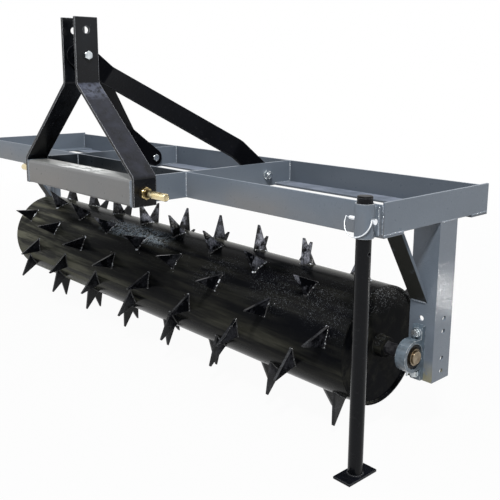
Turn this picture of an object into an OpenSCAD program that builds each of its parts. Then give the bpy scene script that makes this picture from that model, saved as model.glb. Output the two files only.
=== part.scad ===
// Spike aerator for a tractor's three point hitch.
// A tray frame of angle iron carries an A-frame mast with two rear braces, a spiked steel
// drum in pillow block bearings on two drilled uprights, and a parking stand at one corner.
// X runs along the drum, Y runs backwards from the tractor, Z is up and the ground is Z = 0.
// All sizes are in millimetres.

/* [Tray frame] */
// Outer width of the tray frame, along the drum
frame_w = 2090; // [2040:5:2300]
// Outer depth of the tray frame, from front rail to rear rail
frame_d = 445; // [420:5:520]
// Leg width of the angle iron in rails and uprights
angle_leg = 76.2; // [70:0.1:82]
// Wall thickness of the angle iron
angle_t = 6.35; // [5:0.05:8]
// Thickness of the flat bar in cross members, straps, braces and struts
bar_t = 9.5; // [8:0.5:11]
// Distance from the middle plane to the outer face of each cross member
cross_x = 322.5; // [300:0.5:360]

/* [Hitch] */
// Distance from the front rail forward to the front face of the hitch tube
hitch_reach = 190; // [170:1:230]
// Side of the square hitch tube, and width of the mast straps over it
tube_side = 76.2; // [70:0.1:82]
// Wall thickness of the hitch tube
tube_wall = 4.8; // [4:0.1:6.4]
// Outer corner radius of the hitch tube
tube_corner_r = 8; // [6.5:0.5:10]
// Drop of the hitch tube's top below the tray's top edge
tube_drop = 8; // [4:0.5:12]
// Free width between the two ears of the mast
ear_gap = 66; // [56:1:76]
// Height from the lower hitch pins to the top link hole
mast_h = 457.2; // [440:0.2:480]
// Diameter of the top link hole in the ears
top_hole_d = 20.6; // [19.5:0.1:26]
// Length of the ears above the top link hole
ear_top = 38; // [30:1:50]
// Distance from the top link hole down to the mast bolt
mast_bolt_drop = 74; // [68:1:84]
// Distance from the mast bolt down to the bend below the ears
ear_bend_drop = 84; // [70:1:100]
// Middle radius of the bends in the mast straps
strap_bend_r = 14; // [10:1:24]
// Diameter of the lower hitch pins
hitch_pin_d = 22.2; // [20:0.1:24]
// Length of each hitch pin beyond the mast strap
hitch_pin_l = 100; // [90:1:140]
// Thickness of the hitch pin's hexagon collar
pin_collar_t = 9.5; // [8:0.5:14]
// Diameter of the linch pin hole near the hitch pin's end
linch_hole_d = 11.4; // [10:0.1:12.5]

/* [Rear braces] */
// Width of the flat bar in the rear braces
brace_w = 63.5; // [56:0.5:70]
// Distance of the lower brace bolt from the rear face of the tray
brace_foot_y = 116; // [108:1:160]
// Height of the lower brace bolt below the tray's top edge
brace_foot_drop = 38; // [34:0.5:40]
// Distance along the brace from the mast bolt to the upper bend
brace_bend_a = 96; // [80:1:120]
// Distance along the brace from the lower bend to the lower bolt
brace_bend_b = 146; // [110:1:170]
// Middle radius of the bends in the braces
brace_bend_r = 20; // [12:1:30]

/* [Uprights and struts] */
// Length of the uprights below the tray's underside
upright_l = 415; // [400:1:450]
// Distance from the front face of the tray back to the front face of the uprights
upright_y = 227; // [215:1:250]
// Distance from the upright's corner to its line of holes
hole_gauge = 41; // [38:0.5:44]
// Distance from the lowest hole to the upright's lower end
hole_edge = 22.4; // [18:0.1:26]
// Step between the two height positions of the drum
height_step = 35; // [30:1:40]
// Diameter of the bolt holes in the uprights
upright_hole_d = 14.3; // [13.6:0.1:15.5]
// Width of the flat bar in the diagonal struts
strut_w = 50.8; // [40:0.2:60]
// Distance of the strut's upper end in front of the upright
strut_run = 134; // [115:1:145]
// Height of the strut, from the end rail down to its lower end
strut_fall = 213; // [186:1:221]

/* [Drum] */
// Outer diameter of the drum shell
drum_d = 323.9; // [305:0.1:340]
// Length of the drum shell
drum_l = 1829; // [1780:1:1840]
// Wall thickness of the drum shell
shell_t = 6.35; // [5:0.05:9.5]
// Thickness of the drum's end discs
disc_t = 9.5; // [8:0.5:12.5]
// Depth of the end discs inside the shell's rim
disc_inset = 6; // [3:0.5:15]
// Diameter of the through shaft
shaft_d = 34.925; // [30:0.005:36]
// Length of the shaft beyond the middle of each bearing
shaft_end = 24; // [22:1:26]
// Outer diameter of the hubs welded to the end discs
hub_d = 57; // [50:1:70]
// Length of the hubs outside the end discs
hub_l = 26; // [18:1:30]

/* [Spikes] */
// Height of the spikes above the shell
spike_h = 79; // [70:0.5:84]
// Length of a spike's base along the shell
spike_base = 57; // [48:1:64]
// Distance from the base's leading end to the point, along the base
spike_lead = 9; // [4:1:20]
// Width of the blunt point
spike_point = 3; // [1.5:0.5:6]
// Thickness of the spike plates
spike_t = 9.5; // [8:0.5:12.5]
// Number of spikes in each ring
spikes_per_ring = 5; // [4:1:6]
// Distance between neighbouring rings of spikes
ring_pitch = 111.6; // [104:0.1:112]
// Distance from the drum's right end to the first ring
ring_margin = 60.5; // [50:0.5:66]

/* [Bearings] */
// Distance between the bolts of a bearing housing
bearing_bolt_span = 108; // [104:1:114]
// Height of the shaft over the housing's foot
bearing_h = 42.9; // [42:0.1:46]
// Outer diameter of the housing's ring
housing_d = 84; // [80:0.5:86]
// Width of the housing, along the shaft
housing_w = 30; // [26:1:34]
// Length of the housing's foot
foot_l = 146; // [140:1:150]
// Thickness of the housing's foot at its bolts
foot_t = 14; // [12:0.5:17]
// Outer diameter of the bearing insert
insert_d = 66; // [64:0.5:68]
// Width of the insert's outer ring
outer_ring_w = 19; // [17:0.5:22]
// Width of the insert's inner ring
inner_ring_w = 36; // [32:0.5:38]
// Outer diameter of the insert's inner ring
inner_ring_d = 44; // [43:0.5:45]
// Diameter of the bearing balls
ball_d = 9.5; // [8.5:0.1:9.9]
// Number of balls in each bearing
ball_n = 9; // [7:1:11]

/* [Parking stand] */
// Distance from the tray's right side to the middle of the stand
stand_inset = 29; // [28:1:60]
// Outer diameter of the stand's leg
leg_d = 36; // [32:0.1:37]
// Wall thickness of the leg
leg_wall = 3.8; // [3:0.1:5]
// Outer diameter of the sleeve
sleeve_d = 44.5; // [43.4:0.1:48]
// Length of the sleeve
sleeve_l = 78.5; // [74:0.5:88]
// Height of the sleeve's top over the tray's top edge
sleeve_rise = 6; // [0:0.5:8]
// Gap between the leg and the sleeve's bore
sleeve_clear = 1.5; // [0.5:0.1:2]
// Thickness of the bar between sleeve and rail
standoff_t = 12.7; // [10:0.1:16]
// Width of the bar between sleeve and rail
standoff_w = 26; // [20:1:34]
// Height of the leg's top over the sleeve
leg_rise = 13; // [10:1:30]
// Distance between the leg's pin holes
leg_hole_step = 76.2; // [60:0.1:90]
// Length of the foot plate, front to back
foot_plate_l = 101.6; // [90:0.1:120]
// Width of the foot plate
foot_plate_w = 50.8; // [48:0.1:60]
// Thickness of the foot plate
foot_plate_t = 6.35; // [5:0.05:9.5]
// Diameter of the lock pin
lock_pin_d = 9.5; // [8:0.1:10.5]
// Diameter of the wire in the lock pin's bail
bail_wire_d = 3; // [2.4:0.1:3.4]
// Width of the lock pin's drilled head
lock_head_w = 7.8; // [7:0.1:9]
// Length of the lock pin beyond the sleeve, at its pointed end
lock_tail = 22; // [15:0.5:26]
// Length of the bail's straight ends
bail_leg = 7; // [5:0.5:9]

/* [Bolts] */
// Diameter of the mast bolt and the brace bolts
brace_bolt_d = 15.875; // [12.7:0.005:16]
// Diameter of the bearing bolts
bearing_bolt_d = 12.7; // [10:0.1:13]
// Clearance of a bolt in its hole, on the diameter
bolt_clear = 0.8; // [0.4:0.1:1.6]

/* [Hidden] */
$fn = 64;

// Small gaps: pressed rings and nuts on their seats, and pieces that move past each other
seat = 0.05;
run_gap = 0.3;
rings_per_node = 2;
last_ring = 8 * rings_per_node - 1;

// Driving planes, front to back; Y = 0 is half way between hitch tube and rear rail
overall_d = frame_d + hitch_reach;
hitch_y = -overall_d / 2;
front_y = hitch_y + hitch_reach;
rear_y = overall_d / 2;
upright_face_y = front_y + upright_y;
strap_mid_y = hitch_y + tube_side / 2;

// The points form nine evenly spaced rows between two spikes of a ring, and each ring is
// turned by four of these rows. The drum stands on the two rows beside its lowest line.
row_step = 360 / spikes_per_ring / 9;
ring_turn = 4 * row_step;
first_phase = 270 - 29.5 * row_step;
drum_r = drum_d / 2;
tip_r = drum_r + spike_h;
drum_z = tip_r * cos(row_step / 2);
drum_y = upright_face_y - bearing_h;
bearing_x = frame_w / 2 - hole_gauge;

// Heights
low_hole_z = drum_z - bearing_bolt_span / 2;
upright_z = low_hole_z - hole_edge;
tray_z = upright_z + upright_l;
tray_top_z = tray_z + angle_leg;
tube_top_z = tray_top_z - tube_drop;
tube_z = tube_top_z - tube_side;
pin_z = tube_z + tube_side / 2;
top_hole_z = pin_z + mast_h;
mast_top_z = top_hole_z + ear_top;
mast_bolt_z = top_hole_z - mast_bolt_drop;
ear_bend_z = mast_bolt_z - ear_bend_drop;
hole_zs = [
    low_hole_z, low_hole_z + height_step,
    low_hole_z + bearing_bolt_span, low_hole_z + bearing_bolt_span + height_step
];

// Mast and braces, in the side view
ear_x = ear_gap / 2;
strap_turn = atan2(cross_x - ear_x, ear_bend_z - tube_top_z);
foot_bend_z = tube_top_z + 1.1 * strap_bend_r * tan(strap_turn / 2);
brace_low_y = rear_y - brace_foot_y;
brace_low_z = tray_top_z - brace_foot_drop;
brace_run = brace_low_y - strap_mid_y;
brace_fall = mast_bolt_z - brace_low_z;
brace_len = sqrt(brace_run * brace_run + brace_fall * brace_fall);
brace_tilt = atan2(brace_fall, brace_run);

// Hexagons: across flats for each bolt, and heights of heads and nuts
brace_af = 1.5 * brace_bolt_d;
bearing_af = 1.5 * bearing_bolt_d;
pin_af = 1.5 * hitch_pin_d;
head_share = 0.64;
nut_share = 0.87;
washer_t = 3;
stud_tail = 4;

// Clamped thickness and shank length of each kind of bolt
mast_grip = ear_gap + 2 * bar_t;
mast_bolt_l = mast_grip + washer_t + nut_share * brace_bolt_d + stud_tail;
brace_grip = 2 * bar_t;
brace_bolt_l = brace_grip + washer_t + nut_share * brace_bolt_d + stud_tail;
pin_stud_l = 2 * bar_t + washer_t + nut_share * hitch_pin_d + stud_tail;
pad_t = foot_t + 2;
bearing_foot_front = upright_face_y - pad_t;
bearing_bolt_l = pad_t + angle_t + 2 * washer_t + nut_share * bearing_bolt_d + stud_tail;

// Wrench opening in the hitch tube's back, beside each cross member
wrench_cut_l = 2.5 * hitch_pin_d;
wrench_cut_h = 2 * hitch_pin_d;
wrench_cut_edge = 4;

// Shaft and bearing insert; the outer ring fills this share of the insert's wall
shaft_l = 2 * (bearing_x + shaft_end);
outer_ring_share = 0.28;
insert_r = insert_d / 2;
inner_ring_r = inner_ring_d / 2;
race_gap_r = insert_r - (insert_r - inner_ring_r) * outer_ring_share;
ball_ring_r = (inner_ring_r + race_gap_r) / 2;
groove_r = ball_d / 2 + 0.2;
shield_t = 1.2;

// Parking stand; the lock pin crosses the sleeve at this share of its length
leg_r = leg_d / 2;
sleeve_r = sleeve_d / 2;
stand_x = frame_w / 2 - stand_inset;
stand_y = front_y - standoff_t - sleeve_r;
sleeve_z = tray_top_z + sleeve_rise - sleeve_l;
lock_share = 0.515;
lock_z = sleeve_z + sleeve_l * lock_share;
leg_top_z = sleeve_z + sleeve_l + leg_rise;
pin_bore_r = lock_pin_d / 2 + 0.25;
wire_r = bail_wire_d / 2;
lock_head_r = 0.72 * lock_pin_d;
lock_head_x = sleeve_r + 1 + lock_head_w / 2;
lock_tip_x = -sleeve_r - lock_tail;
bail_end_x = lock_tip_x - wire_r - run_gap;
bail_r = (lock_head_x - bail_end_x) / 2;
bail_front = lock_head_r + wire_r + run_gap;

// The bail hangs forward until its half circle rests on the sleeve's front
bail_out = bail_leg + bail_r;
bail_touch = sleeve_r + wire_r + 3 * run_gap;
bail_tilt = asin(bail_touch / norm([bail_front, bail_out])) - atan2(bail_front, bail_out);

painted_frame = [0.46, 0.49, 0.53];
gloss_black = [0.06, 0.06, 0.065];
zinc = [0.72, 0.74, 0.76];
yellow_zinc = [0.78, 0.62, 0.28];
cast_grey = [0.48, 0.53, 0.58];
bare_steel = [0.45, 0.40, 0.36];

// Reflects a right-hand piece to the left side when side is -1
module on_side(side) {
    if (side < 0) mirror([1, 0, 0]) children();
    else children();
}

// Cylinder along X or along Y, centred on the origin
module rod_x(r, l) { rotate([0, 90, 0]) cylinder(r = r, h = l, center = true); }
module rod_y(r, l) { rotate([90, 0, 0]) cylinder(r = r, h = l, center = true); }

// Section of the angle iron, corner at the origin, legs along +X and +Y
module angle_section() {
    polygon([
        [0, 0], [angle_leg, 0], [angle_leg, angle_t],
        [angle_t, angle_t], [angle_t, angle_leg], [0, angle_leg]
    ]);
}

// Rail along X with its upright leg on Y = 0 and its lower leg pointing to +Y
module rail(x0, x1) {
    translate([x0, 0, 0]) rotate([90, 0, 90]) linear_extrude(x1 - x0) angle_section();
}

// Notch at the end of a front or rear rail, where the end rail's upright leg stands on the
// lower leg
module corner_notch(side) {
    on_side(side) translate([frame_w / 2 - angle_t, -1, angle_t])
        cube([angle_t + 1, angle_t + 2, angle_leg]);
}

module rear_rail() {
    color(painted_frame) translate([0, rear_y, tray_z]) mirror([0, 1, 0]) difference() {
        rail(-frame_w / 2, frame_w / 2);
        corner_notch(-1);
        corner_notch(1);
    }
}

// The end rail lies on the lower legs of front and rear rail, so it stands one wall thickness
// higher. Its own lower leg ends at their upright legs.
module end_rail(side) {
    color(painted_frame) on_side(side)
        translate([frame_w / 2, front_y + frame_d / 2, tray_z + angle_t]) rotate([0, 0, 90])
        difference() {
            rail(-frame_d / 2, frame_d / 2);
            for (end = [-1, 1]) on_side(end) translate([frame_d / 2 - angle_t, angle_t, -1])
                cube([angle_t + 1, angle_leg, angle_t + 2]);
        }
}
module left_end_rail() { end_rail(-1); }
module right_end_rail() { end_rail(1); }

module outer_front_rail(side) {
    color(painted_frame) on_side(side) translate([0, front_y, tray_z]) difference() {
        rail(cross_x, frame_w / 2);
        corner_notch(1);
    }
}
module front_rail_left() { outer_front_rail(-1); }
module front_rail_right() { outer_front_rail(1); }
module front_rail_middle() {
    color(painted_frame) translate([0, front_y, tray_z]) rail(-cross_x + bar_t, cross_x - bar_t);
}

// Flat bar on edge that closes the hitch tube's end and runs back to the rear rail, where it
// is notched over the rail's lower leg
module cross_member(side) {
    y0 = hitch_y + tube_side;
    color(painted_frame) on_side(side) difference() {
        union() {
            translate([cross_x - bar_t, hitch_y, tube_z]) cube([bar_t, tube_side, tube_side]);
            translate([cross_x - bar_t, y0, tray_z])
                cube([bar_t, rear_y - angle_t - y0, angle_leg]);
        }
        translate([cross_x, strap_mid_y, pin_z]) rod_x((hitch_pin_d + bolt_clear) / 2, 4 * bar_t);
        translate([cross_x - 2 * bar_t, rear_y - angle_leg, tray_z - 1])
            cube([3 * bar_t, angle_leg, angle_t + 1]);
        translate([cross_x, brace_low_y, brace_low_z])
            rod_x((brace_bolt_d + bolt_clear) / 2, 4 * bar_t);
    }
}
module left_cross_member() { cross_member(-1); }
module right_cross_member() { cross_member(1); }

module round_square(side, r) {
    square([side, side - 2 * r], center = true);
    square([side - 2 * r, side], center = true);
    for (x = [-1, 1], y = [-1, 1]) translate([x, y] * (side / 2 - r)) circle(r = r);
}

// Square tube between the cross members, with a wrench opening in its back at each end
module hitch_tube() {
    color(painted_frame) difference() {
        translate([0, strap_mid_y, pin_z]) rotate([90, 0, 90])
            linear_extrude(2 * (cross_x - bar_t), center = true) difference() {
                round_square(tube_side, tube_corner_r);
                round_square(tube_side - 2 * tube_wall, tube_corner_r - tube_wall);
            }
        for (side = [-1, 1]) on_side(side) translate([
            cross_x - bar_t - wrench_cut_edge - wrench_cut_l / 2, hitch_y + tube_side, pin_z
        ]) cube([wrench_cut_l, 3 * tube_wall, wrench_cut_h], center = true);
    }
}

// Length and unit direction of a plane vector, and the vector turned left by 90 degrees
function unit(v) = v / norm(v);
function left_of(v) = [-v[1], v[0]];
function turned(v, a) = [v[0] * cos(a) - v[1] * sin(a), v[0] * sin(a) + v[1] * cos(a)];

// Points of one bend at p1 of a strip's edge that lies "off" to the left of the middle line
function bend_points(p0, p1, p2, r, off, steps = 6) =
    let (
        d1 = unit(p1 - p0),
        d2 = unit(p2 - p1),
        turn = acos(d1 * d2),
        s = sign(d1[0] * d2[1] - d1[1] * d2[0]),
        centre = p1 - d1 * r * tan(turn / 2) + left_of(d1) * s * r
    )
    [for (k = [0 : steps]) centre - turned(left_of(d1), s * turn * k / steps) * s * (r - s * off)];

// One edge of a bent strip: the two ends, and an arc at each inner point of the path
function strip_edge(path, r, off) =
    let (last = len(path) - 1)
    concat(
        [path[0] + left_of(unit(path[1] - path[0])) * off],
        [for (i = [1 : last - 1]) each bend_points(path[i - 1], path[i], path[i + 1], r, off)],
        [path[last] + left_of(unit(path[last] - path[last - 1])) * off]
    );
function reversed(list) = [for (i = [len(list) - 1 : -1 : 0]) list[i]];

// Section of a flat bar of thickness t bent along a path
module bent_strip(path, t, r) {
    polygon(concat(strip_edge(path, r, t / 2), reversed(strip_edge(path, r, -t / 2))));
}

// Flat bar bent twice: ear beside the middle plane, sloping leg, and foot over the tube's end
module mast_strap(side) {
    ear_mid = ear_x + bar_t / 2;
    foot_mid = cross_x + bar_t / 2;
    path = [
        [ear_mid, mast_top_z], [ear_mid, ear_bend_z],
        [foot_mid, foot_bend_z], [foot_mid, tube_z]
    ];
    color(gloss_black) on_side(side) difference() {
        translate([0, hitch_y + tube_side, 0]) rotate([90, 0, 0])
            linear_extrude(tube_side) bent_strip(path, bar_t, strap_bend_r);
        translate([ear_mid, strap_mid_y, top_hole_z]) rod_x(top_hole_d / 2, 3 * bar_t);
        translate([ear_mid, strap_mid_y, mast_bolt_z])
            rod_x((brace_bolt_d + bolt_clear) / 2, 3 * bar_t);
        translate([foot_mid, strap_mid_y, pin_z]) rod_x((hitch_pin_d + bolt_clear) / 2, 3 * bar_t);
    }
}
module left_mast_strap() { mast_strap(-1); }
module right_mast_strap() { mast_strap(1); }

// Flat bar bent twice, from the mast bolt between the ears to the inside of the cross member.
// It is drawn with its length along X from the mast bolt, then tilted into place.
module rear_brace(side) {
    top_mid = ear_x - bar_t / 2;
    low_mid = cross_x - 1.5 * bar_t;
    path = [
        [-brace_w / 2, top_mid], [brace_bend_a, top_mid],
        [brace_len - brace_bend_b, low_mid], [brace_len + brace_w / 2, low_mid]
    ];
    color(gloss_black) on_side(side)
        translate([0, strap_mid_y, mast_bolt_z]) rotate([-brace_tilt, 0, 0]) rotate(180, [1, 1, 0])
        difference() {
            intersection() {
                linear_extrude(brace_w, center = true) bent_strip(path, bar_t, brace_bend_r);
                rotate([90, 0, 0]) linear_extrude(4 * cross_x, center = true) {
                    circle(d = brace_w);
                    translate([0, -brace_w / 2]) square([brace_len, brace_w]);
                    translate([brace_len, 0]) circle(d = brace_w);
                }
            }
            rod_y((brace_bolt_d + bolt_clear) / 2, 4 * cross_x);
            translate([brace_len, 0, 0]) rod_y((brace_bolt_d + bolt_clear) / 2, 4 * cross_x);
        }
}
module left_rear_brace() { rear_brace(-1); }
module right_rear_brace() { rear_brace(1); }

// Tube on the mast bolt that holds the two braces against the ears
module mast_spacer() {
    spacer_r = brace_bolt_d;
    color(gloss_black) translate([0, strap_mid_y, mast_bolt_z]) difference() {
        rod_x(spacer_r, ear_gap - 2 * bar_t);
        rod_x((brace_bolt_d + bolt_clear) / 2, ear_gap);
    }
}

// Hexagon head under Z = 0 and shank of length l above it, with a chamfered end
module hex_bolt(d, l) {
    translate([0, 0, -head_share * d]) cylinder(d = 1.5 * d / cos(30), h = head_share * d, $fn = 6);
    cylinder(d = d, h = l - d / 10);
    translate([0, 0, l - d / 10]) cylinder(d1 = d, d2 = 0.8 * d, h = d / 10);
}

// Hexagon nut standing on Z = 0
module hex_nut(d) {
    difference() {
        cylinder(d = 1.5 * d / cos(30), h = nut_share * d, $fn = 6);
        translate([0, 0, -1]) cylinder(d = d + 2 * seat, h = nut_share * d + 2);
    }
}

// Washer standing on Z = 0
module washer(d) {
    difference() {
        cylinder(d = 1.9 * d, h = washer_t);
        translate([0, 0, -1]) cylinder(d = d + bolt_clear, h = washer_t + 2);
    }
}

// Mast bolt from the right ear, through braces and spacer, to its nut at the left ear
module mast_bolt() {
    color(zinc) translate([mast_grip / 2, strap_mid_y, mast_bolt_z]) rotate([0, -90, 0])
        hex_bolt(brace_bolt_d, mast_bolt_l);
}

// Brace bolts, with their heads inside the cross members
module brace_bolts() {
    color(zinc) for (side = [-1, 1]) on_side(side)
        translate([cross_x - brace_grip, brace_low_y, brace_low_z]) rotate([0, 90, 0])
        hex_bolt(brace_bolt_d, brace_bolt_l);
}

// Nut of the mast bolt and nuts of the two brace bolts
module brace_nuts() {
    color(zinc) {
        translate([-mast_grip / 2 - washer_t, strap_mid_y, mast_bolt_z]) rotate([0, -90, 0])
            hex_nut(brace_bolt_d);
        for (side = [-1, 1]) on_side(side)
            translate([cross_x + washer_t, brace_low_y, brace_low_z]) rotate([0, 90, 0])
            hex_nut(brace_bolt_d);
    }
}

// Washers under the mast nut, the brace nuts and the hitch pin nuts
module lock_washers() {
    color(zinc) {
        translate([-mast_grip / 2, strap_mid_y, mast_bolt_z]) rotate([0, -90, 0])
            washer(brace_bolt_d);
        for (side = [-1, 1]) on_side(side) {
            translate([cross_x, brace_low_y, brace_low_z]) rotate([0, 90, 0])
                washer(brace_bolt_d);
            translate([cross_x - bar_t, strap_mid_y, pin_z]) rotate([0, -90, 0])
                washer(hitch_pin_d);
        }
    }
}

// Lower hitch pin: stud through strap and cross member, hexagon collar, and pin with linch hole
module hitch_pin(side) {
    edge = hitch_pin_d / 9;
    color(yellow_zinc) on_side(side) translate([cross_x + bar_t, strap_mid_y, pin_z])
        rotate([0, 90, 0]) difference() {
            union() {
                translate([0, 0, -pin_stud_l])
                    cylinder(d = hitch_pin_d, h = pin_stud_l + hitch_pin_l - edge);
                translate([0, 0, hitch_pin_l - edge])
                    cylinder(d1 = hitch_pin_d, d2 = hitch_pin_d - 2 * edge, h = edge);
                cylinder(d = pin_af / cos(30), h = pin_collar_t, $fn = 6);
            }
            translate([0, 0, hitch_pin_l - 1.1 * hitch_pin_d])
                rod_x(linch_hole_d / 2, 2 * hitch_pin_d);
        }
}
module left_hitch_pin() { hitch_pin(-1); }
module right_hitch_pin() { hitch_pin(1); }

module hitch_pin_nuts() {
    color(yellow_zinc) for (side = [-1, 1]) on_side(side)
        translate([cross_x - bar_t - washer_t, strap_mid_y, pin_z]) rotate([0, -90, 0])
        hex_nut(hitch_pin_d);
}

// Angle iron post with its corner at the front outside, and four holes in each leg
module upright(side) {
    color(painted_frame) on_side(side) difference() {
        translate([frame_w / 2, upright_face_y, upright_z]) rotate([0, 0, 90])
            linear_extrude(upright_l + angle_t) angle_section();
        for (z = hole_zs) {
            translate([bearing_x, upright_face_y, z]) rod_y(upright_hole_d / 2, 3 * angle_t);
            translate([frame_w / 2, upright_face_y + hole_gauge, z])
                rod_x(upright_hole_d / 2, 3 * angle_t);
        }
    }
}
module left_upright() { upright(-1); }
module right_upright() { upright(1); }

// Flat bar from the end rail's lower leg down and back to the upright's front face
module strut(side) {
    slope = atan2(strut_fall, strut_run);
    top_y = upright_face_y - strut_run;
    top_z = tray_z + angle_t;
    low_z = top_z - strut_fall;
    color(painted_frame) on_side(side)
        translate([frame_w / 2 - angle_leg, 0, 0]) rotate([90, 0, 90]) linear_extrude(strut_w)
        polygon([
            [top_y, top_z], [upright_face_y, low_z],
            [upright_face_y, low_z + bar_t / cos(slope)], [top_y + bar_t / sin(slope), top_z]
        ]);
}
module left_strut() { strut(-1); }
module right_strut() { strut(1); }

// Moves its children to the middle of a bearing
module at_bearing(side) { on_side(side) translate([bearing_x, drum_y, drum_z]) children(); }

// Cast pillow block: foot against the upright, shoulders, and a ring round the insert.
// The side view is drawn with the foot along Y and its sole at X = bearing_h.
module bearing_housing(side) {
    shoulder = 0.47 * housing_d;
    ring_side = 0.4975 * housing_d;
    pad_r = 0.36 * (foot_l - bearing_bolt_span);
    color(cast_grey) at_bearing(side) difference() {
        union() {
            rod_x(housing_d / 2, housing_w);
            rotate([90, 0, 90]) linear_extrude(housing_w, center = true) polygon([
                [bearing_h, -foot_l / 2], [bearing_h, foot_l / 2],
                [bearing_h - foot_t, foot_l / 2], [bearing_h - pad_t, shoulder],
                [0, ring_side], [0, -ring_side],
                [bearing_h - pad_t, -shoulder], [bearing_h - foot_t, -foot_l / 2]
            ]);
            for (z = [-1, 1]) translate([0, bearing_h - pad_t / 2, z * bearing_bolt_span / 2])
                rod_y(pad_r, pad_t);
        }
        rod_x(insert_r + seat, 2 * housing_w);
        for (z = [-1, 1]) translate([0, bearing_h, z * bearing_bolt_span / 2])
            rod_y((bearing_bolt_d + bolt_clear) / 2, 4 * foot_t);
    }
}
module left_bearing_housing() { bearing_housing(-1); }
module right_bearing_housing() { bearing_housing(1); }

// Outer ring of the insert with its ball groove and the two shields that close it
module outer_ring(side) {
    color(zinc) at_bearing(side) rotate([0, 90, 0]) rotate_extrude() difference() {
        translate([inner_ring_r + run_gap, -outer_ring_w / 2])
            square([insert_r - inner_ring_r - run_gap, outer_ring_w]);
        translate([inner_ring_r - 1, -outer_ring_w / 2 + shield_t])
            square([race_gap_r - inner_ring_r + 1, outer_ring_w - 2 * shield_t]);
        translate([ball_ring_r, 0]) circle(r = groove_r);
    }
}
module left_outer_ring() { outer_ring(-1); }
module right_outer_ring() { outer_ring(1); }

// Wide inner ring with its ball groove
module inner_ring(side) {
    color(zinc) at_bearing(side) rotate([0, 90, 0]) rotate_extrude() difference() {
        translate([shaft_d / 2 + seat, -inner_ring_w / 2])
            square([inner_ring_r - shaft_d / 2 - seat, inner_ring_w]);
        translate([ball_ring_r, 0]) circle(r = groove_r);
    }
}
module left_inner_ring() { inner_ring(-1); }
module right_inner_ring() { inner_ring(1); }

module balls(side) {
    color(zinc) at_bearing(side)
        for (k = [0 : ball_n - 1]) rotate([k * 360 / ball_n, 0, 0])
        translate([0, ball_ring_r, 0]) sphere(d = ball_d);
}
module left_balls() { balls(-1); }
module right_balls() { balls(1); }

// Moves its children to each of the four bearing bolts, at the housing foot's front
module at_bearing_bolts(y) {
    for (side = [-1, 1], z = [-1, 1]) on_side(side)
        translate([bearing_x, y, drum_z + z * bearing_bolt_span / 2]) rotate([-90, 0, 0]) children();
}

module bearing_bolts() {
    color(zinc) at_bearing_bolts(bearing_foot_front - washer_t)
        hex_bolt(bearing_bolt_d, bearing_bolt_l);
}
module bearing_nuts() {
    color(zinc) at_bearing_bolts(upright_face_y + angle_t + washer_t) hex_nut(bearing_bolt_d);
}
module bearing_washers() {
    color(zinc) at_bearing_bolts(bearing_foot_front - washer_t) washer(bearing_bolt_d);
    color(zinc) at_bearing_bolts(upright_face_y + angle_t) washer(bearing_bolt_d);
}

// Moves its children to the drum's axis, with their Z along X
module on_drum(x) { translate([x, drum_y, drum_z]) rotate([0, 90, 0]) children(); }

module drum_shell() {
    color(gloss_black) on_drum(0) difference() {
        cylinder(r = drum_r, h = drum_l, center = true, $fn = 128);
        cylinder(r = drum_r - shell_t, h = drum_l + 2, center = true, $fn = 128);
    }
}

module end_disc(side) {
    color(gloss_black) on_side(side) on_drum(drum_l / 2 - disc_inset - disc_t) difference() {
        cylinder(r = drum_r - shell_t - seat, h = disc_t, $fn = 128);
        translate([0, 0, -1]) cylinder(d = shaft_d + 2 * seat, h = disc_t + 2);
    }
}
module left_end_disc() { end_disc(-1); }
module right_end_disc() { end_disc(1); }

// Collar round the shaft, welded to the outside of the end disc
module hub(side) {
    color(gloss_black) on_side(side) on_drum(drum_l / 2 - disc_inset) difference() {
        cylinder(d = hub_d, h = hub_l);
        translate([0, 0, -1]) cylinder(d = shaft_d + 2 * seat, h = hub_l + 2);
    }
}
module left_hub() { hub(-1); }
module right_hub() { hub(1); }

module drum_shaft() {
    edge = 1.5;
    color(bare_steel) on_drum(0) {
        cylinder(d = shaft_d, h = shaft_l - 2 * edge, center = true);
        for (z = [-1, 1]) mirror([0, 0, (1 - z) / 2]) translate([0, 0, shaft_l / 2 - edge])
            cylinder(d1 = shaft_d, d2 = shaft_d - 2 * edge, h = edge);
    }
}

// One spike: a triangular plate across the shell whose point stands over the leading end of
// its base. It is drawn in the shell's section with the point on the X axis.
module spike() {
    root = drum_r - 10;
    linear_extrude(spike_t, center = true) difference() {
        polygon([
            [root, -spike_lead], [tip_r - 1, -spike_point / 2], [tip_r, 0],
            [tip_r - 1, spike_point / 2], [root, spike_base - spike_lead]
        ]);
        circle(r = drum_r, $fn = 128);
    }
}

// Angle of the first spike in ring k, counted from the front over the top
function ring_phase(k) = first_phase + k * ring_turn;

// Ring k of spikes; ring 0 is the leftmost of the sixteen
module spike_ring(k) {
    x = drum_l / 2 - ring_margin - (last_ring - k) * ring_pitch;
    for (j = [0 : spikes_per_ring - 1])
        translate([x, drum_y, drum_z]) rotate([-ring_phase(k) - j * 360 / spikes_per_ring, 0, 0])
        rotate([0, -90, 0]) rotate([0, 0, -90]) spike();
}

// Neighbouring rings that make up one group of spikes
module spike_group(g) {
    color(gloss_black) for (k = [0 : rings_per_node - 1]) spike_ring((g - 1) * rings_per_node + k);
}
module spikes_1() { spike_group(1); }
module spikes_2() { spike_group(2); }
module spikes_3() { spike_group(3); }
module spikes_4() { spike_group(4); }
module spikes_5() { spike_group(5); }
module spikes_6() { spike_group(6); }
module spikes_7() { spike_group(7); }
module spikes_8() { spike_group(8); }

module stand_sleeve() {
    color(painted_frame) difference() {
        translate([stand_x, stand_y, sleeve_z]) cylinder(r = sleeve_r, h = sleeve_l);
        translate([stand_x, stand_y, sleeve_z - 1])
            cylinder(r = leg_r + sleeve_clear, h = sleeve_l + 2);
        translate([stand_x, stand_y, lock_z]) rod_x(pin_bore_r, 3 * sleeve_d);
    }
}

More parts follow.
